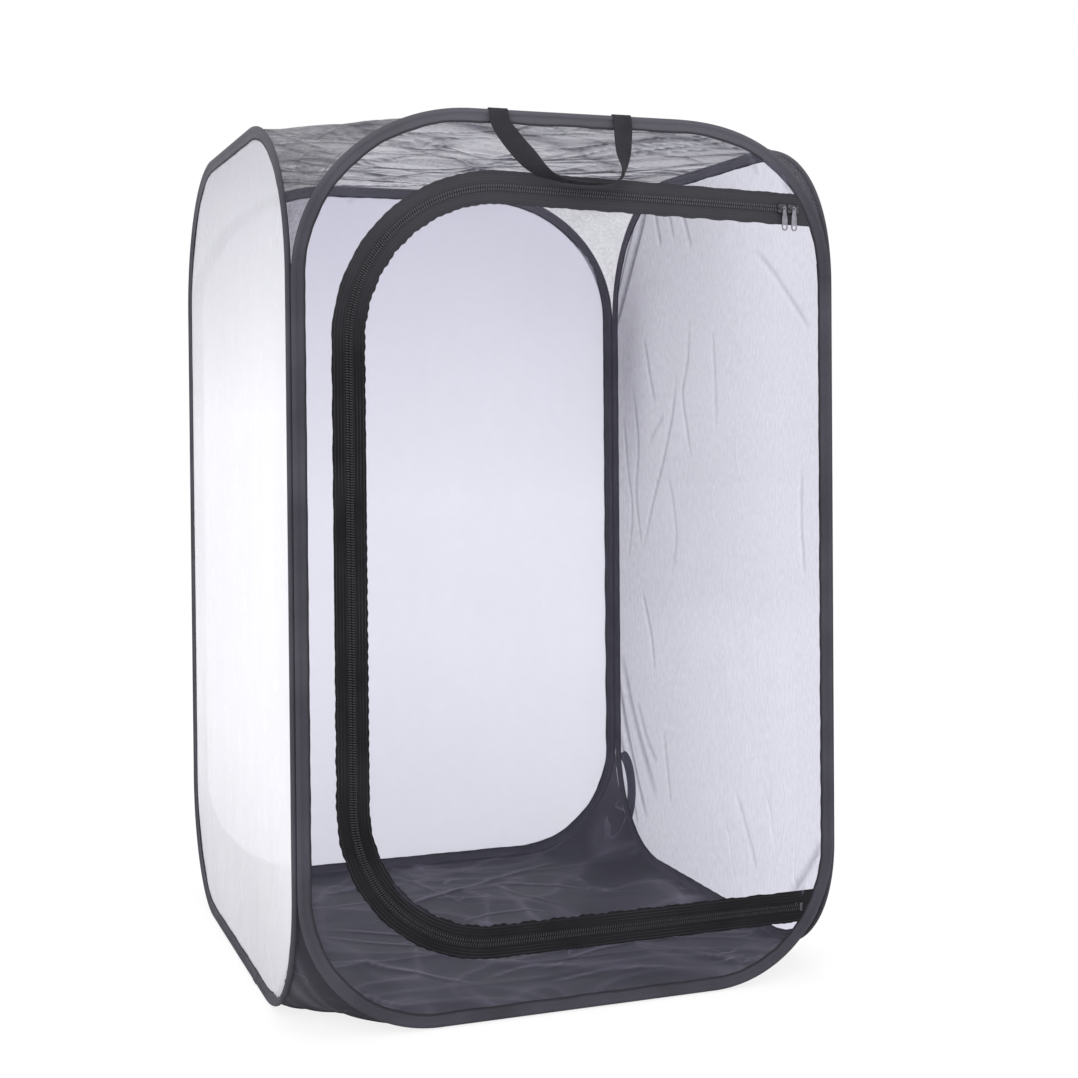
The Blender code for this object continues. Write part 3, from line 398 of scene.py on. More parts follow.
def wrinkles(tree, place, look):
    # Thin broken creases: up to 1 on their shaded side and down to -1 on their lit side
    stretched = put(tree, "Mapping", {"Vector": place, "Scale": look["wrinkleScale"]})
    inputs = {"Vector": stretched, "Scale": 1.0, "Detail": 1.5, "Distortion": look["wrinkleBend"]}
    side = combine(tree, put(tree, "TexNoise", inputs), 0.5, "SUBTRACT")
    near = spread(tree, combine(tree, side, 0.0, "ABSOLUTE"), 0.0, look["wrinkleWidth"], 1.0, 0.0)
    signed = combine(tree, near, combine(tree, side, 0.0, "SIGN"), "MULTIPLY")
    patch = put(tree, "TexNoise", {"Vector": place, "Scale": look["wrinklePatch"], "Detail": 1.0})
    return combine(tree, signed, spread(tree, patch, 0.42, 0.62), "MULTIPLY")


def wovenMaterial(name, look):
    # Opaque cloth: threads from the piece's own lengths, blotches, and painted highlights and shade over
    # creases where it has them
    material, tree = openMaterial(name)
    uv = put(tree, "UVMap", uv_map="cloth")
    place = put(tree, "TexCoord", output="Object")
    weave = weaveHeight(tree, look["pitch"], uv)
    gap, shadow = (tuple(share * c for c in look["dark"]) for share in (0.55, 0.3))
    colour = twoTone(tree, place, look["blotch"], look)
    colour = mixTone(tree, spread(tree, weave, 0.0, 1.0, 1.0 - look["weaveShade"], 1.0), gap, colour)
    if "linePitch" in look:
        scale = bandSpacing / look["linePitch"]
        inputs = {"Vector": uv, "Scale": scale, "Distortion": 0.6, "Detail Scale": 0.02}
        line = put(tree, "TexWave", inputs, "Fac", bands_direction="Y")
        thin = spread(tree, line, 0.74, 1.0, 0.0, look["lineShare"])
        thin = combine(tree, thin, blotches(tree, place, 18.0, 0.0, 1.0, 1.0), "MULTIPLY")
        colour = mixTone(tree, thin, colour, look["lineTone"])
    # Painted light: lighter towards the top, for the lamps' light from above
    if "paintedTopLight" in look:
        level = put(tree, "SeparateXYZ", {"Vector": place}, "Z")
        upper = spread(tree, level, look["topFrom"], look["topTo"], 0.0, look["topLightShare"])
        colour = mixTone(tree, upper, colour, look["paintedTopLight"])
    if "edgeTone" in look:
        strip = put(tree, "SeparateXYZ", {"Vector": uv}, "Y")
        half = look["stripHalf"]
        fromMiddle = combine(tree, combine(tree, strip, half, "SUBTRACT"), 0.0, "ABSOLUTE")
        edge = spread(tree, fromMiddle, half - 0.0028, half - 0.0012, 0.0, look["edgeShare"])
        colour = mixTone(tree, edge, colour, look["edgeTone"])
    # Painted light and shade over creases: a light tone on their lit side and a dark one on their shaded side
    if "creaseHighlightTone" in look:
        crinkle, foldsAndShading = wrinkles(tree, place, look), foldsAndShadingOf(tree)
        lit = spread(tree, crinkle, 0.0, -1.0, 0.0, look["wrinkleShare"])
        shaded = spread(tree, crinkle, 0.0, 1.0, 0.0, 0.6 * look["wrinkleShare"])
        colour = mixTone(tree, lit, colour, look["creaseHighlightTone"])
        colour = mixTone(tree, shaded, colour, shadow)
        colour = mixTone(tree, spread(tree, foldsAndShading, 0.0, 1.0), colour, look["creaseHighlightTone"])
        colour = mixTone(tree, spread(tree, foldsAndShading, 0.0, -0.3, 0.0, 0.6), colour, shadow)
    fine = blotches(tree, place, look["grain"], 0.0, 1.0)
    height = put(tree, "Math", {0: fine, 1: 0.5, 2: weave}, operation="MULTIPLY_ADD")
    close(tree, put(tree, "BsdfPrincipled", {
        "Base Color": colour,
        "Roughness": blotches(tree, place, look["blotch"] * 1.7, look["rough"] - 0.08, look["rough"] + 0.08),
        "Specular IOR Level": look["gloss"],
        "Sheen Weight": look["sheen"],
        "Sheen Roughness": 0.5,
        "Sheen Tint": tone(look["light"]),
        "Normal": put(tree, "Bump", {"Strength": look["bump"], "Distance": 0.0004, "Height": height}),
    }))
    return material


def netMaterial(name, look):
    # Netting: clear between its threads; the share of threads follows the weave, the folds and their painted
    # light and shade
    material, tree = openMaterial(name)
    place = put(tree, "TexCoord", output="Object")
    weave = weaveHeight(tree, look["pitch"], put(tree, "UVMap", uv_map="cloth"))
    cover, change = look["cover"], look["weaveShare"]
    share = spread(tree, weave, 0.0, 1.0, cover - change, cover + change)
    share = combine(tree, share, blotches(tree, place, look["blotch"], -look["patchy"], look["patchy"]))
    threads = put(tree, "Mapping", {"Vector": place, "Scale": look["grain"]})
    share = combine(tree, share, blotches(tree, threads, 1.0, -look["grainShare"], look["grainShare"], 2.0))
    # Painted shade and light: more threads on the shaded side of the wrinkles and fewer on their lit side
    if "wrinkleScale" in look:
        crinkle = combine(tree, wrinkles(tree, place, look), look["wrinkleShare"], "MULTIPLY")
        share = combine(tree, share, crinkle)
    # More threads along folds, partly gathered net and partly painted shade, and fewer on their lit flanks, a
    # painted highlight
    share = put(tree, "Math", {0: foldsAndShadingOf(tree), 1: look["foldsAndShadingCover"], 2: share}, operation="MULTIPLY_ADD")
    share = put(tree, "Clamp", {"Value": share, "Min": 0.02, "Max": 0.97})
    thread = put(tree, "BsdfPrincipled", {
        "Base Color": twoTone(tree, place, look["blotch"] * 2.3, look),
        "Roughness": 0.75,
        "Specular IOR Level": 0.2,
        "Normal": put(tree, "Bump", {"Strength": look["bump"], "Distance": 0.0003, "Height": weave}),
    })
    clear = put(tree, "BsdfTransparent", {"Color": tone(look["tint"])})
    close(tree, put(tree, "MixShader", {0: share, 1: clear, 2: thread}))
    return material


def filmMaterial(name, look):
    # Milky film: partly clear, with a white body that light passes, a soft gloss over its wrinkles, painted
    # highlight streaks along them and painted shade towards its top and foot
    material, tree = openMaterial(name)
    place = put(tree, "TexCoord", output="Object")
    stretched = put(tree, "Mapping", {"Vector": place, "Scale": (3.0, 3.0, 0.35)})
    streakAndHighlight = blotches(tree, stretched, look["streakScale"], 0.0, 1.0, 4.0)
    share = combine(tree, blotches(tree, place, 4.0, -0.06, 0.06), look["body"])
    # Painted highlights: the lighter streaks of the colour stand for highlights along the wrinkles that the
    # same streaks bump
    colour = mixTone(tree, streakAndHighlight, look["dark"], look["light"])
    # Painted shade: darker towards the top and, where set, the foot, for the shade of the top net and floor
    # cloth about it
    level = put(tree, "SeparateXYZ", {"Vector": place}, "Z")
    upper = spread(tree, level, look["upperFrom"], 0.90)
    foot = spread(tree, level, 0.24, 0.0, 0.0, look["footShadeShare"])
    colour = mixTone(tree, combine(tree, upper, foot, "MAXIMUM"), colour, look["paintedEndShade"])
    normal = put(tree, "Bump", {"Strength": look["bump"], "Distance": 0.0008, "Height": streakAndHighlight})
    body = put(tree, "BsdfDiffuse", {"Color": colour, "Normal": normal})
    through = put(tree, "BsdfTranslucent", {"Color": colour, "Normal": normal})
    milk = put(tree, "MixShader", {0: look["through"], 1: body, 2: through})
    base = put(tree, "MixShader", {0: share, 1: put(tree, "BsdfTransparent"), 2: milk})
    gloss = put(tree, "BsdfGlossy", {"Roughness": blotches(tree, place, 30.0, 0.14, 0.3), "Normal": normal})
    edge = put(tree, "LayerWeight", {"Blend": 0.12, "Normal": normal}, "Fresnel")
    shine = combine(tree, edge, look["gloss"], "MULTIPLY")
    close(tree, put(tree, "MixShader", {0: shine, 1: base, 2: gloss}))
    return material


def hardMaterial(name, look):
    # Metal or hard plastic with fine scratches and handling marks
    material, tree = openMaterial(name)
    place = put(tree, "TexCoord", output="Object")
    colour = twoTone(tree, place, look["marks"], look)
    # Painted light: lighter at the height of the zip's top run, for the lamps' light from above
    if "paintedTopLight" in look:
        level = put(tree, "SeparateXYZ", {"Vector": place}, "Z")
        colour = mixTone(tree, spread(tree, level, 0.70, 0.82, 0.0, 0.7), colour, look["paintedTopLight"])
    scratch = blotches(tree, place, look["marks"] * 4.0, 0.0, 1.0)
    close(tree, put(tree, "BsdfPrincipled", {
        "Base Color": colour,
        "Metallic": look["metal"],
        "Roughness": blotches(tree, place, look["marks"] * 2.0, look["rough"] - 0.07, look["rough"] + 0.1),
        "Normal": put(tree, "Bump", {"Strength": 0.12, "Distance": 0.0002, "Height": scratch}),
    }))
    return material


bindingCloth = wovenMaterial("bindingCloth", {
    "dark": (0.038, 0.036, 0.047), "light": (0.062, 0.059, 0.076), "blotch": 14.0, "grain": 900.0,
    "pitch": 0.0011, "weaveShade": 0.35, "rough": 0.78, "bump": 0.35, "gloss": 0.25, "sheen": 0.18,
    # Painted light: lighter towards the top of the hoops
    "paintedTopLight": (0.120, 0.118, 0.138), "topFrom": 0.78, "topTo": 0.90, "topLightShare": 0.55,
    "edgeTone": (0.012, 0.011, 0.015), "edgeShare": 0.75, "stripHalf": 0.0165,
})
tapeCloth = wovenMaterial("tapeCloth", {
    "dark": (0.007, 0.0065, 0.008), "light": (0.013, 0.0125, 0.015), "blotch": 20.0, "grain": 1100.0,
    "pitch": 0.0014, "weaveShade": 0.4, "rough": 0.78, "bump": 0.4, "gloss": 0.12, "sheen": 0.04,
    "linePitch": 0.0031, "lineShare": 0.75, "lineTone": (0.040, 0.039, 0.044),
    # Painted light: lighter along the zip's top run
    "paintedTopLight": (0.062, 0.060, 0.071), "topFrom": 0.66, "topTo": 0.80, "topLightShare": 0.60,
})
webbing = wovenMaterial("strapWebbing", {
    "dark": (0.014, 0.013, 0.017), "light": (0.030, 0.028, 0.035), "blotch": 25.0, "grain": 900.0,
    "pitch": 0.0018, "weaveShade": 0.55, "rough": 0.75, "bump": 0.9, "gloss": 0.3, "sheen": 0.22,
})
loopWebbing = wovenMaterial("loopWebbing", {
    "dark": (0.040, 0.038, 0.050), "light": (0.064, 0.061, 0.079), "blotch": 25.0, "grain": 900.0,
    "pitch": 0.0016, "weaveShade": 0.45, "rough": 0.75, "bump": 0.8, "gloss": 0.25, "sheen": 0.2,
})
floorFabric = wovenMaterial("floorFabric", {
    "dark": (0.018, 0.017, 0.0255), "light": (0.031, 0.029, 0.041), "blotch": 7.0, "grain": 700.0,
    "pitch": 0.0010, "weaveShade": 0.08, "rough": 0.6, "bump": 0.06, "gloss": 0.22, "sheen": 0.04,
    # Painted highlights and shade over its creases
    "creaseHighlightTone": (0.190, 0.182, 0.225), "wrinkleScale": (8.0, 17.0, 8.0), "wrinkleBend": 0.8,
    "wrinkleWidth": 0.014, "wrinklePatch": 6.0, "wrinkleShare": 0.7,
})
# Painted light: threads in a lighter tone for the lamps' light on the front; the door net shares it
litFrontNetting = netMaterial("litFrontNetting", {
    "dark": (0.135, 0.135, 0.185), "light": (0.180, 0.180, 0.240), "blotch": 6.0, "patchy": 0.010,
    "pitch": 0.0014, "cover": 0.095, "weaveShare": 0.006, "foldsAndShadingCover": 0.40, "tint": (0.955, 0.955, 1.0),
    "bump": 0.02, "grain": (90.0, 90.0, 90.0), "grainShare": 0.008,
})
# Painted shade: threads in a darker tone for the right side in shade
shadedRightNetting = netMaterial("shadedRightNetting", {
    "dark": (0.035, 0.034, 0.055), "light": (0.075, 0.073, 0.110), "blotch": 5.0, "patchy": 0.015,
    "pitch": 0.0014, "cover": 0.125, "weaveShare": 0.04, "foldsAndShadingCover": 0.42, "tint": (0.94, 0.935, 1.0),
    "bump": 0.08, "grain": (300.0, 300.0, 110.0), "grainShare": 0.045, "wrinkleScale": (16.0, 16.0, 3.6),
    "wrinkleBend": 0.3, "wrinkleWidth": 0.016, "wrinklePatch": 5.0, "wrinkleShare": 0.08,
})
topNetting = netMaterial("topNetting", {
    "dark": (0.035, 0.032, 0.043), "light": (0.080, 0.076, 0.098), "blotch": 9.0, "patchy": 0.04,
    "pitch": 0.0014, "cover": 0.45, "weaveShare": 0.05, "foldsAndShadingCover": 0.52, "tint": (0.985, 0.98, 1.0),
    "bump": 0.15, "grain": (240.0, 240.0, 240.0), "grainShare": 0.07, "wrinkleScale": (4.0, 30.0, 5.0),
    "wrinkleBend": 0.6, "wrinkleWidth": 0.026, "wrinklePatch": 7.0, "wrinkleShare": 0.14,
})
leftFilmSheet = filmMaterial("leftFilmSheet", {
    "dark": (0.955, 0.95, 0.985), "light": (0.98, 0.975, 1.0), "body": 0.91, "through": 0.42,
    "streakScale": 12.0, "bump": 0.10, "gloss": 0.3,
    # Painted shade at its top and foot
    "paintedEndShade": (0.58, 0.575, 0.63), "upperFrom": 0.60, "footShadeShare": 0.35,
})
rearFilmSheet = filmMaterial("rearFilmSheet", {
    "dark": (0.94, 0.94, 0.995), "light": (0.95, 0.95, 1.0), "body": 0.87, "through": 0.50,
    "streakScale": 6.0, "bump": 0.05, "gloss": 0.2,
    # Painted shade towards its top
    "paintedEndShade": (0.66, 0.65, 0.74), "upperFrom": 0.48, "footShadeShare": 0.0,
})
sewingThread = hardMaterial("sewingThread", {
    "dark": (0.012, 0.011, 0.015), "light": (0.028, 0.026, 0.034), "marks": 400.0, "rough": 0.65,
    "metal": 0.0,
})
pullMetal = hardMaterial("pullMetal", {
    "dark": (0.17, 0.167, 0.19), "light": (0.31, 0.30, 0.34), "marks": 240.0, "rough": 0.38, "metal": 0.9,
})
sliderMetal = hardMaterial("sliderMetal", {
    "dark": (0.05, 0.05, 0.055), "light": (0.11, 0.11, 0.12), "marks": 200.0, "rough": 0.4, "metal": 0.8,
})
coilPlastic = hardMaterial("coilPlastic", {
    "dark": (0.014, 0.0135, 0.016), "light": (0.032, 0.031, 0.036), "marks": 300.0, "rough": 0.4,
    # Painted light: lighter along the zip's top run
    "metal": 0.0, "paintedTopLight": (0.085, 0.083, 0.095),
})
wireSteel = hardMaterial("wireSteel", {
    "dark": (0.30, 0.30, 0.31), "light": (0.48, 0.48, 0.50), "marks": 180.0, "rough": 0.3, "metal": 1.0,
})
sleeveBrass = hardMaterial("sleeveMetal", {
    "dark": (0.40, 0.39, 0.36), "light": (0.58, 0.56, 0.52), "marks": 160.0, "rough": 0.35, "metal": 1.0,
})
print("materials made")


# Hoop bindings

binding = {
    "beadRadius": 0.0031,
    "beadTurn": math.radians(152),
    "flangeTip": 0.0109,
    "plyAway": (-1.0, -0.93, -0.86, -0.80, -0.70, -0.58, -0.46, -0.36),
    "plyOut": (0.45, 0.62, 0.55, 0.62, 0.86, 1.02, 1.00, 1.12),
    "puffShares": (0.4, 0.2, 0.0, 0.2, 0.8, 1.0, 0.8, 0.3),
    "edgeShares": (1.0, 0.9, 0.8, 0.6, 0.4, 0.2, 0.1, 0.0),
    "stitchLine": 0.0094,
    "stitchOut": 0.00062,
    "stationStep": 0.0030,
    "stitchPitch": 0.0036,
    "stitchLength": 0.0023,
    "stitchRadius": 0.00026,
    "edgeWaves": ((0.070, 0.00035), (0.024, 0.00018)),
    "puffWaves": ((0.040, 0.00022), (0.015, 0.00016)),
}
threadPlaces = np.array((-0.5, -0.3, 0.3, 0.5)) * binding["stitchLength"]
threadShape = ringShape(threadPlaces, np.array((0.4, 1.0, 1.0, 0.4)) * binding["stitchRadius"], 6)


def bindingProfile(stations, seed, grow=0.0, edgeScale=1.0):
    # One cloth strip folded over the wire: front ply, round bead, back ply
    length, total = stations["length"], stations["total"]
    ply = len(binding["plyAway"])
    plyAway = np.array(binding["plyAway"]) * binding["flangeTip"]
    plyOut = np.array(binding["plyOut"]) * 0.001 + grow
    turn = np.linspace(binding["beadTurn"], -binding["beadTurn"], 13)
    radius = binding["beadRadius"] + grow
    away = np.tile(np.concatenate([plyAway, radius * np.cos(turn), plyAway[::-1]]), (len(length), 1))
    out = np.tile(np.concatenate([plyOut, radius * np.sin(turn), -plyOut[::-1]]), (len(length), 1))
    edge = (wander(length, total, seed, binding["edgeWaves"]) * edgeScale)[:, None] * binding["edgeShares"]
    puffs = [wander(length, total, seed + k, binding["puffWaves"])[:, None] for k in (11, 12)]
    away[:, :ply] += edge
    away[:, -ply:] += edge[:, ::-1]
    out[:, :ply] += puffs[0] * binding["puffShares"]
    out[:, -ply:] -= puffs[1] * binding["puffShares"][::-1]
    return away, out


def makeBinding(side, seed):
    name, body = side + "Binding", panels[side][4]
    stations = evenly(hoopLine(side), binding["stationStep"], True)
    away, out = bindingProfile(stations, seed)
    piece = runStrip(name, side, stations, away, out)
    finishPiece(piece, bindingCloth, body, [side + "_hoop_binding"])
    fine = evenly(hoopLine(side), binding["stitchPitch"], True)
    for face, faceName in ((1, "Outer"), (-1, "Inner")):
        place = (-binding["stitchLine"], face * binding["stitchOut"])
        thread = scatter(side + faceName + "Stitches", side, fine, threadShape, *place)
        finishPiece(thread, sewingThread, body)


# Where each binding's ends lap, as the place across and the height
lap = {
    "step": 0.0010,
    "length": 0.016,
    "grow": 0.00055,
    "endLift": 0.00035,
    "endReach": 0.0015,
    "places": {
        "front": (0.2854, 0.7500),
        "left": (-0.1000, 0.0038),
        "rear": (0.0700, 0.0038),
        "right": (0.0600, 0.0038),
    },
}


def partOfHoop(side, spot, span, step):
    # The stations of a short stretch of a hoop about one place
    stations = evenly(hoopLine(side), step, True)
    middle = int(np.argmin(np.linalg.norm(stations["spot"] - spot, axis=1)))
    count = int(span / step / 2)
    picks = np.arange(middle - count, middle + count + 1) % len(stations["spot"])
    length = np.arange(len(picks)) * step
    part = {key: stations[key][picks] for key in ("spot", "normal")}
    return {**part, "length": length, "total": length[-1], "closed": False}


def makeLap(side):
    stations = partOfHoop(side, lap["places"][side], lap["length"], lap["step"])
    away, out = bindingProfile(stations, 77, lap["grow"], 0.0)
    ends = np.minimum(stations["length"], stations["total"] - stations["length"]) / lap["endReach"]
    out = out - np.sign(out) * ((1 - np.clip(ends, 0, 1)) * lap["endLift"])[:, None]
    piece = runStrip(side + "BindingLap", side, stations, away, out)
    finishPiece(piece, bindingCloth, panels[side][4], [side + "_binding_lap"])


for order, side in enumerate(panels):
    makeBinding(side, 100 * order + 5)
    makeLap(side)
print("bindings and their laps made")


# Films and nets


def fillOutline(outline, columnPlaces, rows):
    # Columns of points from the outline's lower edge to its upper edge
    across, height = outline
    ends = []
    for half in (height <= cage["middle"], height > cage["middle"]):
        order = np.argsort(across[half])
        ends.append(np.interp(columnPlaces, across[half][order], height[half][order]))
    foot, top = ends
    share = np.linspace(0, 1, rows)
    return np.repeat(columnPlaces[:, None], rows, axis=1), foot[:, None] + (top - foot)[:, None] * share


def bunched(low, high, count):
    # Places that lie closer together towards both ends
    turn = np.linspace(0, math.pi, count)
    even = np.linspace(0, 1, count)
    return low + (high - low) * (0.5 * even + 0.25 * (1 - np.cos(turn)))


def flatSheet(name, side, across, out, height, foldsAndShading=None, closedRows=False):
    # A sheet in a panel's plane, whose weave follows its place on the panel
    uv = np.stack([across, height], axis=-1)
    faces = gridFaces(*across.shape, closedRows)
    return buildMesh(name, onPanel(side, across, out, height), faces, uv, foldsAndShading=foldsAndShading)


panelGrid = ((210, 270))


def makePanel(side, kind, material, waves):
    half = panels[side][3] - cage["panelTuck"]
    outline = shifted(evenly(hoopLine(side), 0.004, True), -cage["panelTuck"])
    across, height = fillOutline(outline, bunched(-half, half, panelGrid[0]), panelGrid[1])
    fromEnds = np.minimum(height - cage["wireFoot"], cage["wireTop"] - height)
    fade = easeIn(np.minimum(half - np.abs(across), fromEnds) / 0.03)
    ripple, foldsAndShading = waves(across, height)
    piece = flatSheet(side + kind.capitalize(), side, across, ripple * fade, height, foldsAndShading)
    finishPiece(piece, material, panels[side][4], [side + "_" + kind])


def leftWaves(across, height):
    low = np.exp(-((height - 0.10) / 0.14) ** 2)
    high = np.exp(-((height - 0.86) / 0.13) ** 2)
    tall = crumple(across * 26, height * 3.2, 3.1) * 0.0014 * (low + 0.8 * high)
    slant = ridges(across * 9 + height * 7, height * 2.5, 8.4, 9.0) * 0.0012 * (low + high + 0.05)
    broad = crumple(across * 4, height * 2, 5.5) * 0.003
    return tall + slant + broad, np.zeros_like(across)


def rearWaves(across, height):
    tall = crumple(across * 14, height * 2.6, 13.1) * 0.0007
    broad = crumple(across * 4, height * 2, 15.5) * 0.003
    return tall + broad, np.zeros_like(across)


# Folds of the right net, over (across, height) places; its rear edge is at 290
rightFolds = inMetres((
    (6.5, 0.95, 178, 890, 205, 845, 235, 800, 268, 752, 293, 715),
    (3.7, 0.65, 208, 890, 232, 845, 262, 800, 293, 748),
    (3.7, 0.60, 226, 885, 250, 855, 275, 825, 293, 795),
    (3.7, 0.45, 165, 885, 152, 850, 138, 815),
    (3.7, 0.40, 130, 880, 112, 850, 98, 822),
    (3.7, 0.50, 90, 880, 70, 848, 46, 805),
    (4.0, 0.38, -120, 790, -175, 755, -225, 715, -255, 690),
    (3.7, 0.42, 51, 720, 60, 665, 75, 627, 66, 590, 50, 545),
    (3.7, 0.38, 192, 700, 178, 655, 160, 612),
    (3.7, 0.30, -15, 700, -20, 640, -22, 580),
    (3.7, 0.48, 92, 650, 110, 595, 140, 535, 172, 480, 200, 420),
    (3.7, 0.36, 180, 562, 158, 580, 132, 598),
    (3.7, 0.36, 230, 640, 215, 560, 222, 490, 205, 420),
    (3.7, 0.34, 262, 600, 250, 530, 236, 470, 252, 400),
    (3.7, 0.30, 120, 520, 100, 450, 115, 390),
    (3.7, 0.42, 205, 365, 180, 310, 168, 262),
    (7.5, 0.60, 278, 270, 248, 205, 208, 150, 165, 95),
    (6.0, 0.70, 288, 235, 268, 175, 232, 110, 195, 60),
    (5.5, 0.55, 286, 160, 262, 100, 228, 45),
    (5.0, 0.40, 225, 215, 195, 170, 160, 140),
    (3.7, 0.30, 140, 190, 128, 140, 118, 95),
    (4.0, 0.30, -70, 155, -105, 105, -125, 70),
    (6.0, 0.75, -270, 135, -235, 95, -195, 55),
    (4.5, 0.60, -285, 115, -255, 70, -225, 40),
    (3.5, 0.40, -235, 540, -232, 480, -240, 420),
))


def rightWaves(across, height):
    # Denser towards the rear and along its folds, partly gathered net and partly painted shade, with a patch
    # of painted shade under its upper folds and painted light on the folds' lit flanks
    folds = foldField(across, height, rightFolds)
    lit = foldField(across - 0.0045, height + 0.0015, rightFolds)
    high = easeIn((height - 0.55) / 0.30)
    patch = np.exp(-((across - 0.250) / 0.055) ** 2 - ((height - 0.660) / 0.130) ** 2)
    density = 0.05 + 1.55 * np.maximum(0, across + 0.19) + 0.16 * high * easeIn((across + 0.15) / 0.2)
    ripple = 0.0032 * folds + crumple(across * 5, height * 2.5, 25.0) * 0.003
    ripple += crumple(across * 22, height * 9, 28.0) * 0.0007
    return ripple, np.clip(density + 0.45 * patch + 1.3 * folds - 0.55 * lit, -0.2, 1.7)


makePanel("left", "film", leftFilmSheet, leftWaves)
makePanel("rear", "film", rearFilmSheet, rearWaves)
makePanel("right", "net", shadedRightNetting, rightWaves)
print("films and right net made")


def rayHits(outline, middle, angles):
    # How far a star-shaped outline lies from its middle, at each angle
    across, height = outline
    turn = np.unwrap(np.arctan2(height - middle[1], across - middle[0]))
    reach = np.hypot(across - middle[0], height - middle[1])
    if turn[-1] < turn[0]:
        turn, reach = turn[::-1], reach[::-1]
    wrapped = np.concatenate([turn + 2 * math.pi * lap for lap in range(-2, 3)])
    return np.interp(angles, wrapped, np.tile(reach, 5))


# Where the front net bunches beside its binding
frontFolds = inMetres((
    (3.0, 0.95, 205, 880, 215, 862, 232, 850, 240, 834, 256, 826),
    (2.6, 0.70, 180, 886, 196, 866, 205, 846),
    (2.6, 0.80, 236, 866, 245, 846, 262, 838),
    (2.6, 0.60, -90, 880, -120, 872, -160, 868, -185, 856),
    (2.6, 0.50, -205, 842, -222, 822, -232, 800),
    (3.0, 0.70, 256, 100, 250, 88, 238, 76),
))
frontRays = 1440
door = {
    "grid": ((200, 220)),
    "bend": 0.012,
    "hingeStrip": 0.016,
    "low": 0.09,
    "high": 0.81,
    "fade": 0.05,
}


def makeFrontNet():
    # Rays from the zip's hole out to the hoop
    middle = (0.0, cage["middle"])
    hoop = shifted(evenly(hoopLine("front"), 0.002, True), -cage["panelTuck"])
    run = shifted(evenly(zipLine(zipRun["hinge"]), 0.002), -zipRun["netSetback"])
    closing = np.linspace(0, 1, 200)[1:-1]
    hole = [np.concatenate([line, line[-1] + (line[0] - line[-1]) * closing]) for line in run]
    angles = np.linspace(0, 2 * math.pi, frontRays, endpoint=False)
    inner, outer = rayHits(hole, middle, angles), rayHits(hoop, middle, angles)
    share = np.linspace(0, 1, 14)
    reach = inner[:, None] + (outer - inner)[:, None] * share
    across = middle[0] + reach * np.cos(angles)[:, None]
    height = middle[1] + reach * np.sin(angles)[:, None]
    fade = easeIn(np.minimum(share, 1 - share) * 5)
    bunch = foldField(across, height, frontFolds)
    lit = foldField(across - 0.003, height - 0.002, frontFolds)
    out = (crumple(across * 12, height * 8, 31.0) * 0.0009 + 0.0015 * bunch) * fade
    # Thread share of the folds: denser along them, partly bunched net and partly painted shade, and thinner
    # on their lit flanks, a painted highlight
    piece = flatSheet("frontNet", "front", across, out, height, bunch - 0.3 * lit, True)
    finishPiece(piece, litFrontNetting, "front_panel", ["front_net"])


def bendAtHinge(piece):
    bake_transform(piece)


def makeDoorNet():
    hinge = zipRun["hinge"]
    outline = shifted(evenly(zipLine(hinge), 0.001), zipRun["netSetback"])
    left = float(outline[0].min())
    near = np.linspace(hinge - door["hingeStrip"], hinge, 17)
    places = np.concatenate([bunched(left, near[0], door["grid"][0])[:-1], near])
    across, height = fillOutline(outline, places, door["grid"][1])
    fromSides = np.minimum(across - left, hinge - across)
    fromEnds = np.minimum(height - door["low"], door["high"] - height)
    waves = crumple(across * 5, height * 3, 41.0) * 0.0022 + crumple(across * 17, height * 6, 43.0) * 0.0006
    out = waves * easeIn(np.minimum(fromSides, fromEnds) / door["fade"])
    piece = flatSheet("doorNet", "front", across, out, height, np.zeros_like(across))
    finishPiece(piece, litFrontNetting, None, ["door_net"])
    bendAtHinge(piece)


makeFrontNet()
makeDoorNet()
print("front and door nets made")


# Top net and floor cloth

clothSteps = ((34, 150))
topFolds = {"count": 70, "half": 0.27, "seed": 71, "width": (0.0028, 0.0048), "depth": (0.35, 1.0)}


def cornerDrop(x, y, halfX, halfY, reach, drop, fullness):
    fromCorner = (halfX - np.abs(x)) / reach + (halfY - np.abs(y)) / reach
    inside = np.clip(1 - fromCorner, 0, 1)
    return drop * (1 - np.maximum(0, 1 - inside ** fullness) ** (1 / fullness))


def clothLines(half, reach):
    # Places across a cloth, closer together over its bends
    bendSteps, middleSteps = clothSteps
    lines = -half + reach * (1 - np.cos(np.linspace(0, quarter, bendSteps)))
    middle = np.linspace(reach - half, half - reach, middleSteps)[1:-1]
    return np.concatenate([lines, middle, -lines[::-1]])


def clothPlaces(cornerReach):
    halfX, halfY = cage["halfWidth"] - cage["clothInset"], cage["halfDepth"] - cage["clothInset"]
    reach = cornerReach + cage["cornerInset"] - cage["clothInset"]
    x, y = np.meshgrid(clothLines(halfX, reach), clothLines(halfY, reach), indexing="ij")
    return x, y, halfX, halfY, reach


def finishCloth(name, x, y, height, foldsAndShading, material, replaced):
    points = np.stack([x, y, height], axis=-1)
    piece = buildMesh(name, points, gridFaces(*x.shape), points[..., :2], foldsAndShading=foldsAndShading)
    finishPiece(piece, material, "front_panel", [replaced])
    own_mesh(piece)


def scatteredFolds(look):
    # Long shallow folds, most of them running from the rear left towards the front right
    chance = np.random.default_rng(look["seed"])
    folds = []
    for index in range(look["count"]):
        middle = chance.uniform(-look["half"], look["half"], 2)
        turn = math.radians(chance.uniform(-52, -12) if index % 4 else chance.uniform(5, 50))
        reach = chance.uniform(0.05, 0.17)
        run = reach * np.array((math.cos(turn), math.sin(turn)))
        bow = chance.uniform(-0.10, 0.10) * np.array((-run[1], run[0]))
        points = (middle - run, middle + bow, middle + run)
        folds.append((points, chance.uniform(*look["width"]), chance.uniform(*look["depth"])))
    return folds


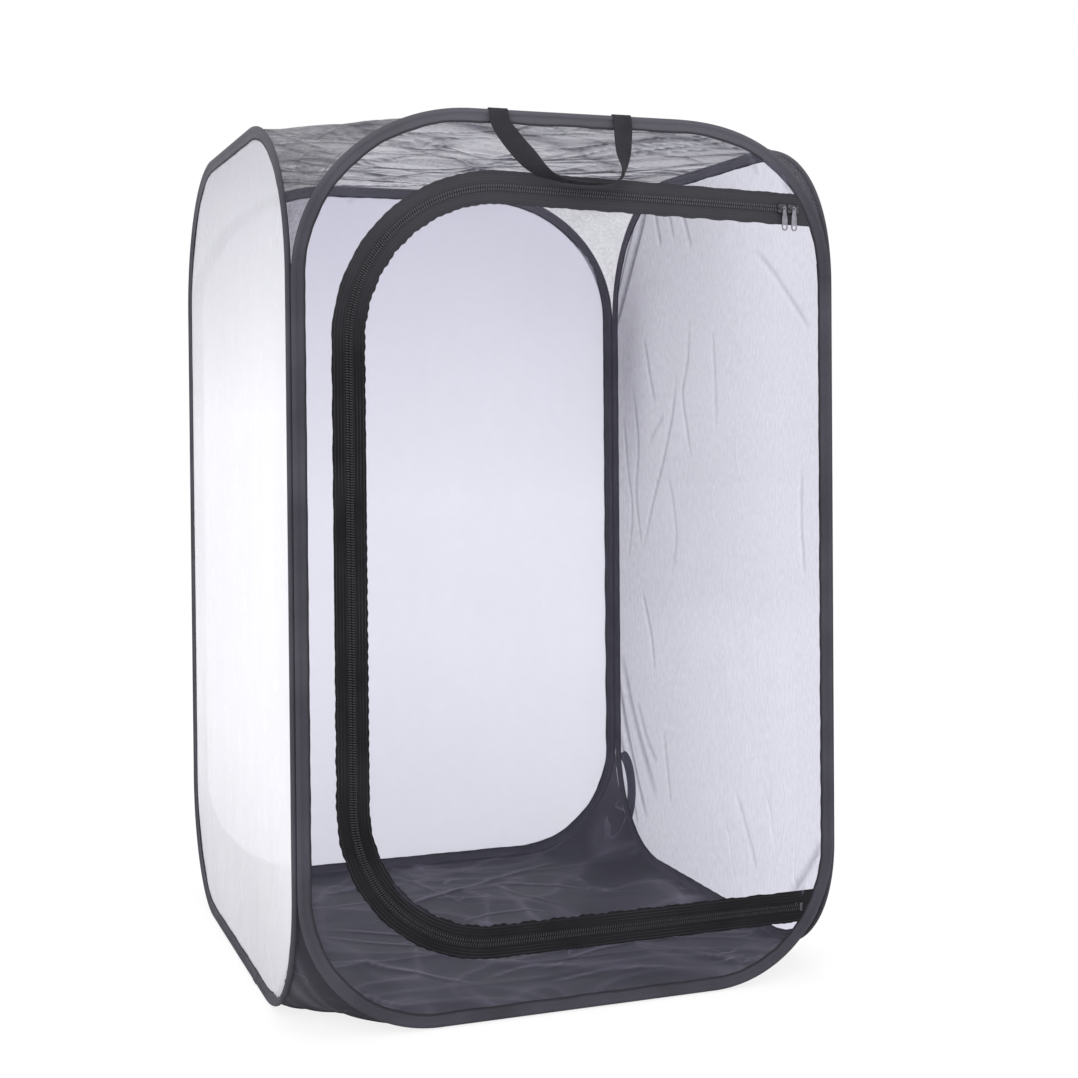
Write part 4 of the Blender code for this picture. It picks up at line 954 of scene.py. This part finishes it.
def makeTopNet():
    x, y, halfX, halfY, reach = clothPlaces(cage["topReach"])
    middle = (1 - (x / halfX) ** 2) * (1 - (y / halfY) ** 2)
    phase = y / halfY + 0.35 * (x / halfX) ** 2
    fullness = np.where((x > 0) & (y < 0), cage["frontRightFullness"], cage["fullness"])
    height = cage["wireTop"] - middle * (0.010 + 0.0028 * np.sin(math.pi * 5 * phase))
    height = height - cornerDrop(x, y, halfX, halfY, reach, cage["topDrop"], fullness)
    # Long folds from side to side, and slanting ones that run in from the corners
    warp = 0.25 * crumple(x * 5, y * 3, 51.0)
    lengthwise = crumple(x * 2.6, (y + 0.06 * np.sin(x * 9)) * 26 + warp * 8, 53.0)
    slanting = ridges((x + y) * 6, (x - y) * 2.2, 55.0, 14.0)
    crossing = ridges((x - y) * 5, (x + y) * 2.0, 57.0, 14.0)
    fine = ridges(x * 3.2, y * 46 + warp * 16, 59.0, 9.0)
    broad = np.clip(crumple(x * 4, y * 16 + warp * 6, 60.0) * 1.6, 0, 1)
    folds = scatteredFolds(topFolds)
    sharp, lit = foldField(x, y, folds), foldField(x + 0.002, y + 0.005, folds)
    fade = np.clip(np.minimum(halfX - np.abs(x), halfY - np.abs(y)) / 0.02, 0, 1)
    height = height + fade * (0.0024 * lengthwise + 0.0016 * slanting - 0.0012 * crossing + 0.0018 * sharp)
    # Thread share of the folds: denser along them, partly gathered net and partly painted shade, and thinner
    # on their lit flanks, a painted highlight
    foldsAndShading = 0.38 * fine + 0.50 * np.maximum(slanting, crossing) + 0.25 * broad
    foldsAndShading = foldsAndShading + 0.85 * sharp - 0.45 * lit - 0.10
    # Thinner over the corners, above all the rear ones, and denser at the front right
    corners = np.clip(1.6 - 1.6 * ((halfX - np.abs(x)) + (halfY - np.abs(y))) / reach, 0, 1)
    foldsAndShading = foldsAndShading * (1 - 0.6 * corners) - 0.5 * corners * (y > 0)
    foldsAndShading = foldsAndShading + 0.28 * easeIn((x - 0.02) / 0.12) * easeIn((0.05 - y) / 0.15)
    finishCloth("topNet", x, y, height, foldsAndShading, topNetting, "top_net")


# Creases of the floor cloth seen from above, over places (to the right, to the back)
floorFolds = inMetres((
    (3.6, 0.9, -175, 60, -120, 20, -60, -30, 0, -120),
    (3.6, 0.7, -185, 30, -140, -10, -90, -45),
    (3.6, 0.8, -181, -68, -140, -120, -75, -201),
    (3.6, 0.9, -70, 120, 10, 160, 90, 205, 186, 249),
    (3.6, 0.7, 60, 175, 120, 150, 170, 105),
    (3.6, 0.7, 60, 175, 80, 120, 110, 60),
    (3.6, 0.6, -52, 280, -20, 190, 7, 88),
    (3.6, 0.6, -150, 200, -90, 215, -30, 205),
    (3.6, 0.5, -160, 140, -110, 150, -50, 130),
    (3.6, 0.6, 33, -153, 90, -125, 150, -120, 223, -109),
    (3.6, 0.7, 0, -215, 70, -200, 140, -215),
    (3.6, 0.6, -60, -180, -10, -160, 50, -175),
    (3.6, 0.5, 130, 0, 170, -30, 230, -35),
    (3.6, 0.5, -120, -30, -40, -20, 40, -50),
    (3.6, 0.5, -20, 30, 40, 50, 90, 30),
    (3.6, 0.6, 180, -180, 210, -225, 200, -265),
    (3.6, 0.7, -215, -120, -195, -190, -160, -240),
))


def makeFloorCloth():
    x, y, halfX, halfY, reach = clothPlaces(cage["footReach"])
    nearest = np.minimum(halfX - np.abs(x), halfY - np.abs(y))
    turnUp = np.clip(1 - nearest / 0.020, 0, 1) ** 2
    height = 0.00025 + (cage["wireFoot"] - 0.00025) * turnUp
    height = height + cornerDrop(x, y, halfX, halfY, reach, cage["footRise"], cage["fullness"])
    bow = 0.5 * crumple(x * 4, y * 4, 61.0)
    long = ridges(x * 3.2 + bow, y * 15 + bow * 3, 63.0, 9.0)
    slanting = ridges((x * 0.8 + y) * 7 + bow, (x - y) * 4, 65.0, 9.0)
    crossing = ridges((x - y * 0.5) * 8, (x + y) * 4 + bow, 67.0, 11.0)
    sharp, lit = foldField(x, y, floorFolds), foldField(x, y + 0.005, floorFolds)
    fade = np.clip(nearest / 0.015, 0, 1)
    height = height + fade * (0.0026 * long + 0.0022 * slanting + 0.0018 * crossing + 0.0016 * sharp)
    # Painted light and shade: positive values paint highlights along the creases, negative ones beside them
    # paint shade
    soft = long ** 2 + slanting ** 2 + crossing ** 2
    foldsAndShading = np.clip(0.22 * soft - 0.06 + 0.75 * sharp - 0.5 * lit, -0.3, 1)
    finishCloth("floorCloth", x, y, height, foldsAndShading, floorFabric, "floor_cloth")


makeTopNet()
makeFloorCloth()
print("top net and floor cloth made")


# Zip

tape = {
    "lap": 0.0003,
    "step": 0.0018,
    "width": 0.016,
    "endLength": 0.042,
    "frameEnd": 0.262,
    "tuck": 0.004,
    "edgeWaves": ((0.040, 0.0004), (0.011, 0.0003)),
    "raggedWaves": ((0.031, 0.0006), (0.0105, 0.0005)),
    "puffWaves": ((0.050, 0.00018), (0.018, 0.00010)),
    "stitchPitch": 0.0034,
    "stitchLines": (0.0036, 0.0142),
    "stitchEnd": 0.247,
    "stitchGap": 0.014,
    "bendExtra": 0.05,
    "stitchOut": 0.00088,
}
tapeAway = np.array([
    0.00027, 0.0010, 0.0024, 0.0036, 0.0048, 0.0080, 0.0112, 0.0132, 0.0142, 0.0152, 0.01655,
])
tapeOut = np.array([0.60, 0.85, 0.95, 0.78, 1.05, 1.15, 1.10, 0.98, 0.74, 0.92, 0.60]) * 0.001


def bindingEdge(height):
    # Where the tape ends under the right side of the front hoop's binding
    across, level = shifted(evenly(hoopLine("front"), 0.001, True), tape["tuck"] - binding["flangeTip"])
    right = across > 0
    order = np.argsort(level[right])
    return np.interp(height, level[right][order], across[right][order])


def pressed(share):
    # How thin the tape lies, as a share of its own thickness, on its way under the binding
    return 1 - 0.75 * easeIn((share - 0.70) / 0.3)


def tapeProfile(stations, sign, seed, waves):
    length, total = stations["length"], stations["total"]
    away = np.tile(tapeAway, (len(length), 1))
    if sign > 0:
        away[:, 0] = -tape["lap"]
    edge = wander(length, total, seed, waves)[:, None]
    puff = wander(length, total, seed + 3, tape["puffWaves"])[:, None]
    away = away + edge * np.clip((tapeAway - 0.012) / 0.0045, 0, 1)
    inside = np.clip((tapeAway - 0.004) / 0.004, 0, 1) * np.clip((0.0145 - tapeAway) / 0.002, 0, 1)
    return sign * away, tapeOut + puff * inside


def tapeSheet(name, end, sign, seed, waves, tucked):
    stations = evenly(zipLine(end), tape["step"])
    away, out = tapeProfile(stations, sign, seed, waves)
    across, height = shifted(stations, -away)
    if tucked:
        turn, middle = zipRun["hinge"], stations["spot"][:, :1]
        share = np.clip((middle - turn) / (end - turn), 0, 1)
        start = turn + (across - middle)
        across = np.where(share > 0, start + (bindingEdge(height) - start) * share, across)
        out = out * pressed(share)
    return runSheet(name, "front", stations, across, out, height, away), stations["total"]


def tapeStitches(name, end, sign, body):
    stations = evenly(zipLine(end), tape["stitchPitch"])
    threads = []
    for order, line in enumerate(tape["stitchLines"]):
        place = (-sign * line, tape["stitchOut"])
        thread = scatter(name + str(order + 1), "front", stations, threadShape, *place)
        threads.append(finishPiece(thread, sewingThread, body))
    return threads


def makeTapes():
    hinge = zipRun["hinge"]
    piece, length = tapeSheet("frameTape", tape["frameEnd"], 1, 201, tape["edgeWaves"], True)
    threads = tapeStitches("frameTapeStitches", tape["stitchEnd"], 1, "front_panel")
    finishPiece(piece, tapeCloth, "front_panel", ["frame_zip_tape"])
    piece, length = tapeSheet("doorTape", hinge, -1, 211, tape["raggedWaves"], False)
    threads = tapeStitches("doorTapeStitches", hinge - tape["stitchGap"], -1, "door")
    finishPiece(piece, tapeCloth, None, ["door_zip_tape"])
    bendAtHinge(piece)


def makeTapeEnd(level):
    # The door's half of the tape, from the hinge line to the hoop's binding
    slope, down, middle = 0.0, 1.0, zipRun["foot"]
    if level == "upper":
        slope, down, middle = zipRun["slope"], -1.0, float(zipHeight(zipRun["hinge"]))
    share = np.linspace(0, 1, 16)[:, None]
    start = zipRun["hinge"] + down * math.sin(slope) * tapeAway
    height = middle + down * math.cos(slope) * tapeAway
    across = start + (bindingEdge(height) - start) * share
    height = height - math.tan(slope) * (across - start)
    piece = flatSheet(level + "TapeEnd", "front", across, tapeOut * pressed(share), height)
    finishPiece(piece, tapeCloth, "front_panel", [level + "_zip_tape_end"])


coil = {
    "pitch": 0.0025,
    "near": 0.00027,
    "out": 0.0021,
    "frameEnd": 0.2490,
    "hingeGap": 0.001,
    "endGap": 0.0008,
    "places": (0.0, 0.0004, 0.0011, 0.0021, 0.0028, 0.0031),
    "radii": (0.00030, 0.00072, 0.00062, 0.00058, 0.00064, 0.00030),
    "flatness": 0.95,
}
toothPoints, toothFaces = ringShape(coil["places"], coil["radii"], 8)


def tooth(sign):
    return toothPoints * np.array([-sign, 1.0, coil["flatness"]]), toothFaces


def makeCoil(name, end, sign, offset, body, replaced):
    stations = evenly(zipLine(end), coil["pitch"] / 2)
    picks = range(offset, len(stations["length"]), 2)
    piece = scatter(name, "front", stations, tooth(sign), -sign * coil["near"], coil["out"], False, picks)
    finishPiece(piece, coilPlastic, body, [replaced])


def makeCoilEnd(level):
    upper = level == "upper"
    across = np.arange(zipRun["hinge"] + coil["endGap"], coil["frameEnd"], coil["pitch"])
    height = zipHeight(across) if upper else np.full_like(across, zipRun["foot"])
    slope, away = (zipRun["slope"], 1.0) if upper else (0.0, -1.0)
    normal = np.tile((away * math.sin(slope), away * math.cos(slope)), (len(across), 1))
    stations = {"spot": np.stack([across, height], axis=1), "normal": normal}
    piece = scatter(level + "CoilEnd", "front", stations, tooth(1), -coil["near"], coil["out"], False)
    finishPiece(piece, coilPlastic, "front_panel", [level + "_zip_coil_end"])


makeTapes()
makeTapeEnd("upper")
makeTapeEnd("lower")
makeCoil("frameCoil", coil["frameEnd"], 1, 0, "front_panel", "frame_zip_coil")
makeCoil("doorCoil", zipRun["hinge"] - coil["hingeGap"], -1, 1, "door", "door_zip_coil")
makeCoilEnd("upper")
makeCoilEnd("lower")
print("zip made")


# Straps

strapSplits = 8
# Half of a strap's outline: raised selvedges and a shallow rib down the middle
strapWide = np.array((-1, -0.97, -0.86, -0.55, 0, 0.55, 0.86, 0.97, 1))
strapDeep = np.array((0, 0.8, 1.0, 0.82, 0.95, 0.82, 1.0, 0.8, 0))


def strapMesh(name, route, widths, width, thickness):
    ahead = np.gradient(route, axis=0)
    ahead /= np.linalg.norm(ahead, axis=1)[:, None]
    across = widths - ahead * np.sum(ahead * widths, axis=1)[:, None]
    across /= np.linalg.norm(across, axis=1)[:, None]
    face = np.cross(ahead, across)
    wide = np.concatenate([strapWide, strapWide[-2:0:-1]]) * width / 2
    deep = np.concatenate([strapDeep, -strapDeep[-2:0:-1]]) * thickness / 2
    points = route[:, None, :] + across[:, None, :] * wide[:, None] + face[:, None, :] * deep[:, None]
    count, ring = len(route), len(wide)
    faces = gridFaces(count, ring, False, True)
    caps = [(0, 1, ring - 1)] + [(k, k + 1, ring - k - 2, ring - k - 1) for k in range(1, ring // 2 - 1)]
    caps.append((ring // 2 - 1, ring // 2, ring // 2 + 1))
    faces += [cap[::-1] for cap in caps]
    faces += [tuple((count - 1) * ring + k for k in cap) for cap in caps]
    length = lengthAlong(route)
    uv = np.stack(np.broadcast_arrays(length[:, None], wide), axis=-1)
    return buildMesh(name, points, faces, uv), float(length[-1])


# The shares are of the span, the drop, the standoff and the twist, at each point of the hanging part
handle = {
    "left": -0.0807,
    "span": 0.1314,
    "drop": 0.0670,
    "standoff": 0.0100,
    "depth": 0.0055,
    "hinge": 0.8959,
    "wrap": 0.0040,
    "tail": 0.0140,
    "tailRise": 0.0011,
    "width": 0.020,
    "thickness": 0.0012,
    "bend": 0.012,
    "bendRise": 0.0006,
    "bendOut": 0.3055,
    "endOut": 0.0004,
    "endDrop": 0.0016,
    "turnAt": 6,
    "shares": (
        (0.00, 0.10, 0.00, 0.00),
        (0.02, 0.17, 0.01, 0.02),
        (0.05, 0.27, 0.03, 0.05),
        (0.17, 0.55, 0.20, 0.20),
        (0.31, 0.82, 0.62, 0.60),
        (0.46, 0.96, 0.96, 0.95),
        (0.63, 1.00, 1.00, 1.00),
        (0.81, 0.995, 1.00, 1.00),
        (0.93, 0.93, 0.90, 0.97),
        (0.975, 0.78, 0.62, 0.66),
        (0.995, 0.50, 0.22, 0.22),
        (1.00, 0.22, 0.03, 0.02),
        (1.00, 0.10, 0.00, 0.00),
    ),
}


def wrapPoints(place):
    # From the tail's end on the top net, over the bead and down its front
    front, top = -cage["halfDepth"], cage["wireTop"]
    radius, rise = handle["wrap"], handle["tailRise"]
    points = [(place, front + radius + handle["tail"] * share, top + rise) for share in (1.0, 0.66, 0.33)]
    for angle in np.linspace(math.asin(rise / radius), math.pi, 8):
        points.append((place, front + radius * math.cos(angle), top + radius * math.sin(angle)))
    points.append((place, front - radius - handle["endOut"], top - handle["endDrop"]))
    return points


def makeHandle():
    points = wrapPoints(handle["left"])
    widths = [(1.0, 0.0, 0.0)] * len(points)
    turnShare = handle["shares"][handle["turnAt"]][0]
    for spanShare, dropShare, standoffShare, twistShare in handle["shares"]:
        points.append((
            handle["left"] + handle["span"] * spanShare,
            -cage["halfDepth"] - handle["depth"] - handle["standoff"] * standoffShare,
            handle["hinge"] - handle["drop"] * dropShare,
        ))
        turn = twistShare * quarter
        side = 1 if spanShare < turnShare else -1
        width = np.array((math.cos(turn), -side * math.sin(turn), 0.0))
        widths.append(tuple(-width if spanShare > turnShare else width))
    ending = wrapPoints(handle["left"] + handle["span"])[::-1]
    route = smoothRoute(points + ending, strapSplits)
    widths = smoothRoute(widths + [(-1.0, 0.0, 0.0)] * len(ending), strapSplits)
    piece, length = strapMesh("carryHandle", route, widths, handle["width"], handle["thickness"])
    finishPiece(piece, webbing, None, ["carry_handle", "handle_left_end", "handle_right_end"])
    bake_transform(piece)


# The shares are of the reach out from the seam and of the height from its foot to its top
closureLoop = {
    "width": 0.0125,
    "thickness": 0.0012,
    "reach": 0.041,
    "top": 0.1265,
    "foot": 0.030,
    "lean": math.radians(37),
    "twist": math.radians(-50),
    "twistShare": 0.16,
    "sink": 0.0003,
    "shares": (
        (0.00, 1.000), (0.22, 1.012), (0.52, 0.960), (0.80, 0.800), (0.98, 0.560), (1.00, 0.330),
        (0.86, 0.120), (0.64, 0.000), (0.44, 0.070), (0.30, 0.300), (0.19, 0.600), (0.09, 0.880),
        (0.00, 0.978),
    ),
}


def makeClosureLoop():
    lean = closureLoop["lean"]
    outward = np.array((math.cos(lean), math.sin(lean), 0.0))
    across = np.array((outward[1], -outward[0], 0.0))
    seat = binding["beadRadius"] - closureLoop["sink"] - cage["cornerInset"] * min(outward[0], outward[1])
    corner = np.array((cage["halfWidth"], cage["halfDepth"], 0.0))
    points = []
    for reachShare, heightShare in closureLoop["shares"]:
        height = closureLoop["foot"] + (closureLoop["top"] - closureLoop["foot"]) * heightShare
        away = seat + closureLoop["reach"] * reachShare
        points.append(corner + outward * away + np.array((0, 0, height)))
    route = smoothRoute(points, strapSplits)
    inPlane = np.cross(np.gradient(route, axis=0), across)
    inPlane /= np.linalg.norm(inPlane, axis=1)[:, None]
    along = np.linspace(0, 1, len(route))
    twist = closureLoop["twist"] * easeIn(np.minimum(along, 1 - along) / closureLoop["twistShare"])
    widths = across * np.cos(twist)[:, None] + inPlane * np.sin(twist)[:, None]
    piece, length = strapMesh("closureLoop", route, widths, closureLoop["width"], closureLoop["thickness"])
    finishPiece(piece, loopWebbing, "closure_loop", ["closure_loop"])


makeHandle()
makeClosureLoop()
print("straps made")


# Pieces whose shape is kept

keptLooks = {
    "_spring_wire": wireSteel,
    "_wire_sleeve": sleeveBrass,
    "_slider": sliderMetal,
    "_pull": pullMetal,
    "_zip_stop": sliderMetal,
}
for name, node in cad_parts.items():
    for ending, material in keptLooks.items():
        if name.endswith(ending):
            for index in range(len(node.data.materials)):
                node.data.materials[index] = material
print("kept pieces painted")


# Floor, light and camera

# Each lamp has its place, the place that it faces, its watts and how wide it is
stage = {
    "floorHalf": 12.0,
    "floorLevel": -0.0006,
    "floorGlow": 0.80,
    "glowStrength": 1.03,
    "worldLight": 0.98,
    "lamps": {
        "keyLamp": ((-1.6, -2.6, 2.4), (0, 0, 0.4), 36.0, 2.2),
        "fillLamp": ((2.4, -1.6, 1.6), (0, 0, 0.4), 12.0, 2.4),
        "sideLamp": ((-3.0, -0.3, 0.9), (-0.29, 0, 0.42), 12.0, 2.2),
        "rearLamp": ((0.7, 3.2, 1.35), (0, 0.30, 0.40), 13.0, 1.8),
    },
}


def makeFloor():
    half, level = stage["floorHalf"], stage["floorLevel"]
    corners = [(-half, -half, level), (half, -half, level), (half, half, level), (-half, half, level)]
    floor = buildMesh("floor", corners, [(0, 1, 2, 3)])
    material, tree = openMaterial("paleFloor")
    glow = put(tree, "Emission", {"Color": tone((1, 1, 1)), "Strength": stage["glowStrength"]})
    matt = put(tree, "BsdfDiffuse", {"Color": tone((0.96, 0.96, 0.965))})
    share = combine(tree, put(tree, "LightPath", output="Is Camera Ray"), stage["floorGlow"], "MULTIPLY")
    close(tree, put(tree, "MixShader", {0: share, 1: matt, 2: glow}))
    floor.data.materials.append(material)


def makeWorld():
    world = bpy.data.worlds.new("studio")
    bpy.context.scene.world = world
    world.use_nodes = True
    tree = world.node_tree
    tree.nodes.clear()
    level = spread(tree, put(tree, "LightPath", output="Is Camera Ray"), 0.0, 1.0, stage["worldLight"], 1.0)
    sky = put(tree, "Background", {"Color": tone((1, 1, 1)), "Strength": level})
    put(tree, "OutputWorld", {"Surface": sky})


def makeLamp(name, place, target, watts, size):
    lamp = bpy.data.lights.new(name, "AREA")
    lamp.energy = watts
    lamp.shape = "DISK"
    lamp.size = size
    piece = bpy.data.objects.new(name, lamp)
    piece.location = place
    piece.rotation_mode = "QUATERNION"
    piece.rotation_quaternion = (Vector(target) - Vector(place)).to_track_quat("-Z", "Y")
    bpy.context.scene.collection.objects.link(piece)


view = {
    "place": (-0.6351, -1.9256, 0.5972),
    "yaw": -0.3508,
    "pitch": 0.018,
    "roll": -0.0084,
    "lens": 58.13,
    "sensor": 36.0,
    "clip": (0.05, 60.0),
    "shiftUp": -0.0841,
}


def makeCamera():
    lens = bpy.data.cameras.new("photoView")
    lens.lens = view["lens"]
    lens.sensor_width = view["sensor"]
    lens.shift_y = view["shiftUp"]
    lens.clip_start, lens.clip_end = view["clip"]
    camera = bpy.data.objects.new("photoView", lens)
    camera.matrix_world = (
        Matrix.Translation(view["place"]) @ Matrix.Rotation(view["yaw"], 4, "Z")
        @ Matrix.Rotation(quarter - view["pitch"], 4, "X") @ Matrix.Rotation(view["roll"], 4, "Z")
    )
    bpy.context.scene.collection.objects.link(camera)
    bpy.context.scene.camera = camera


makeFloor()
makeWorld()
for name, lamp in stage["lamps"].items():
    makeLamp(name, *lamp)
makeCamera()
bpy.context.scene.view_settings.view_transform = "Standard"
print("floor, light and camera set")
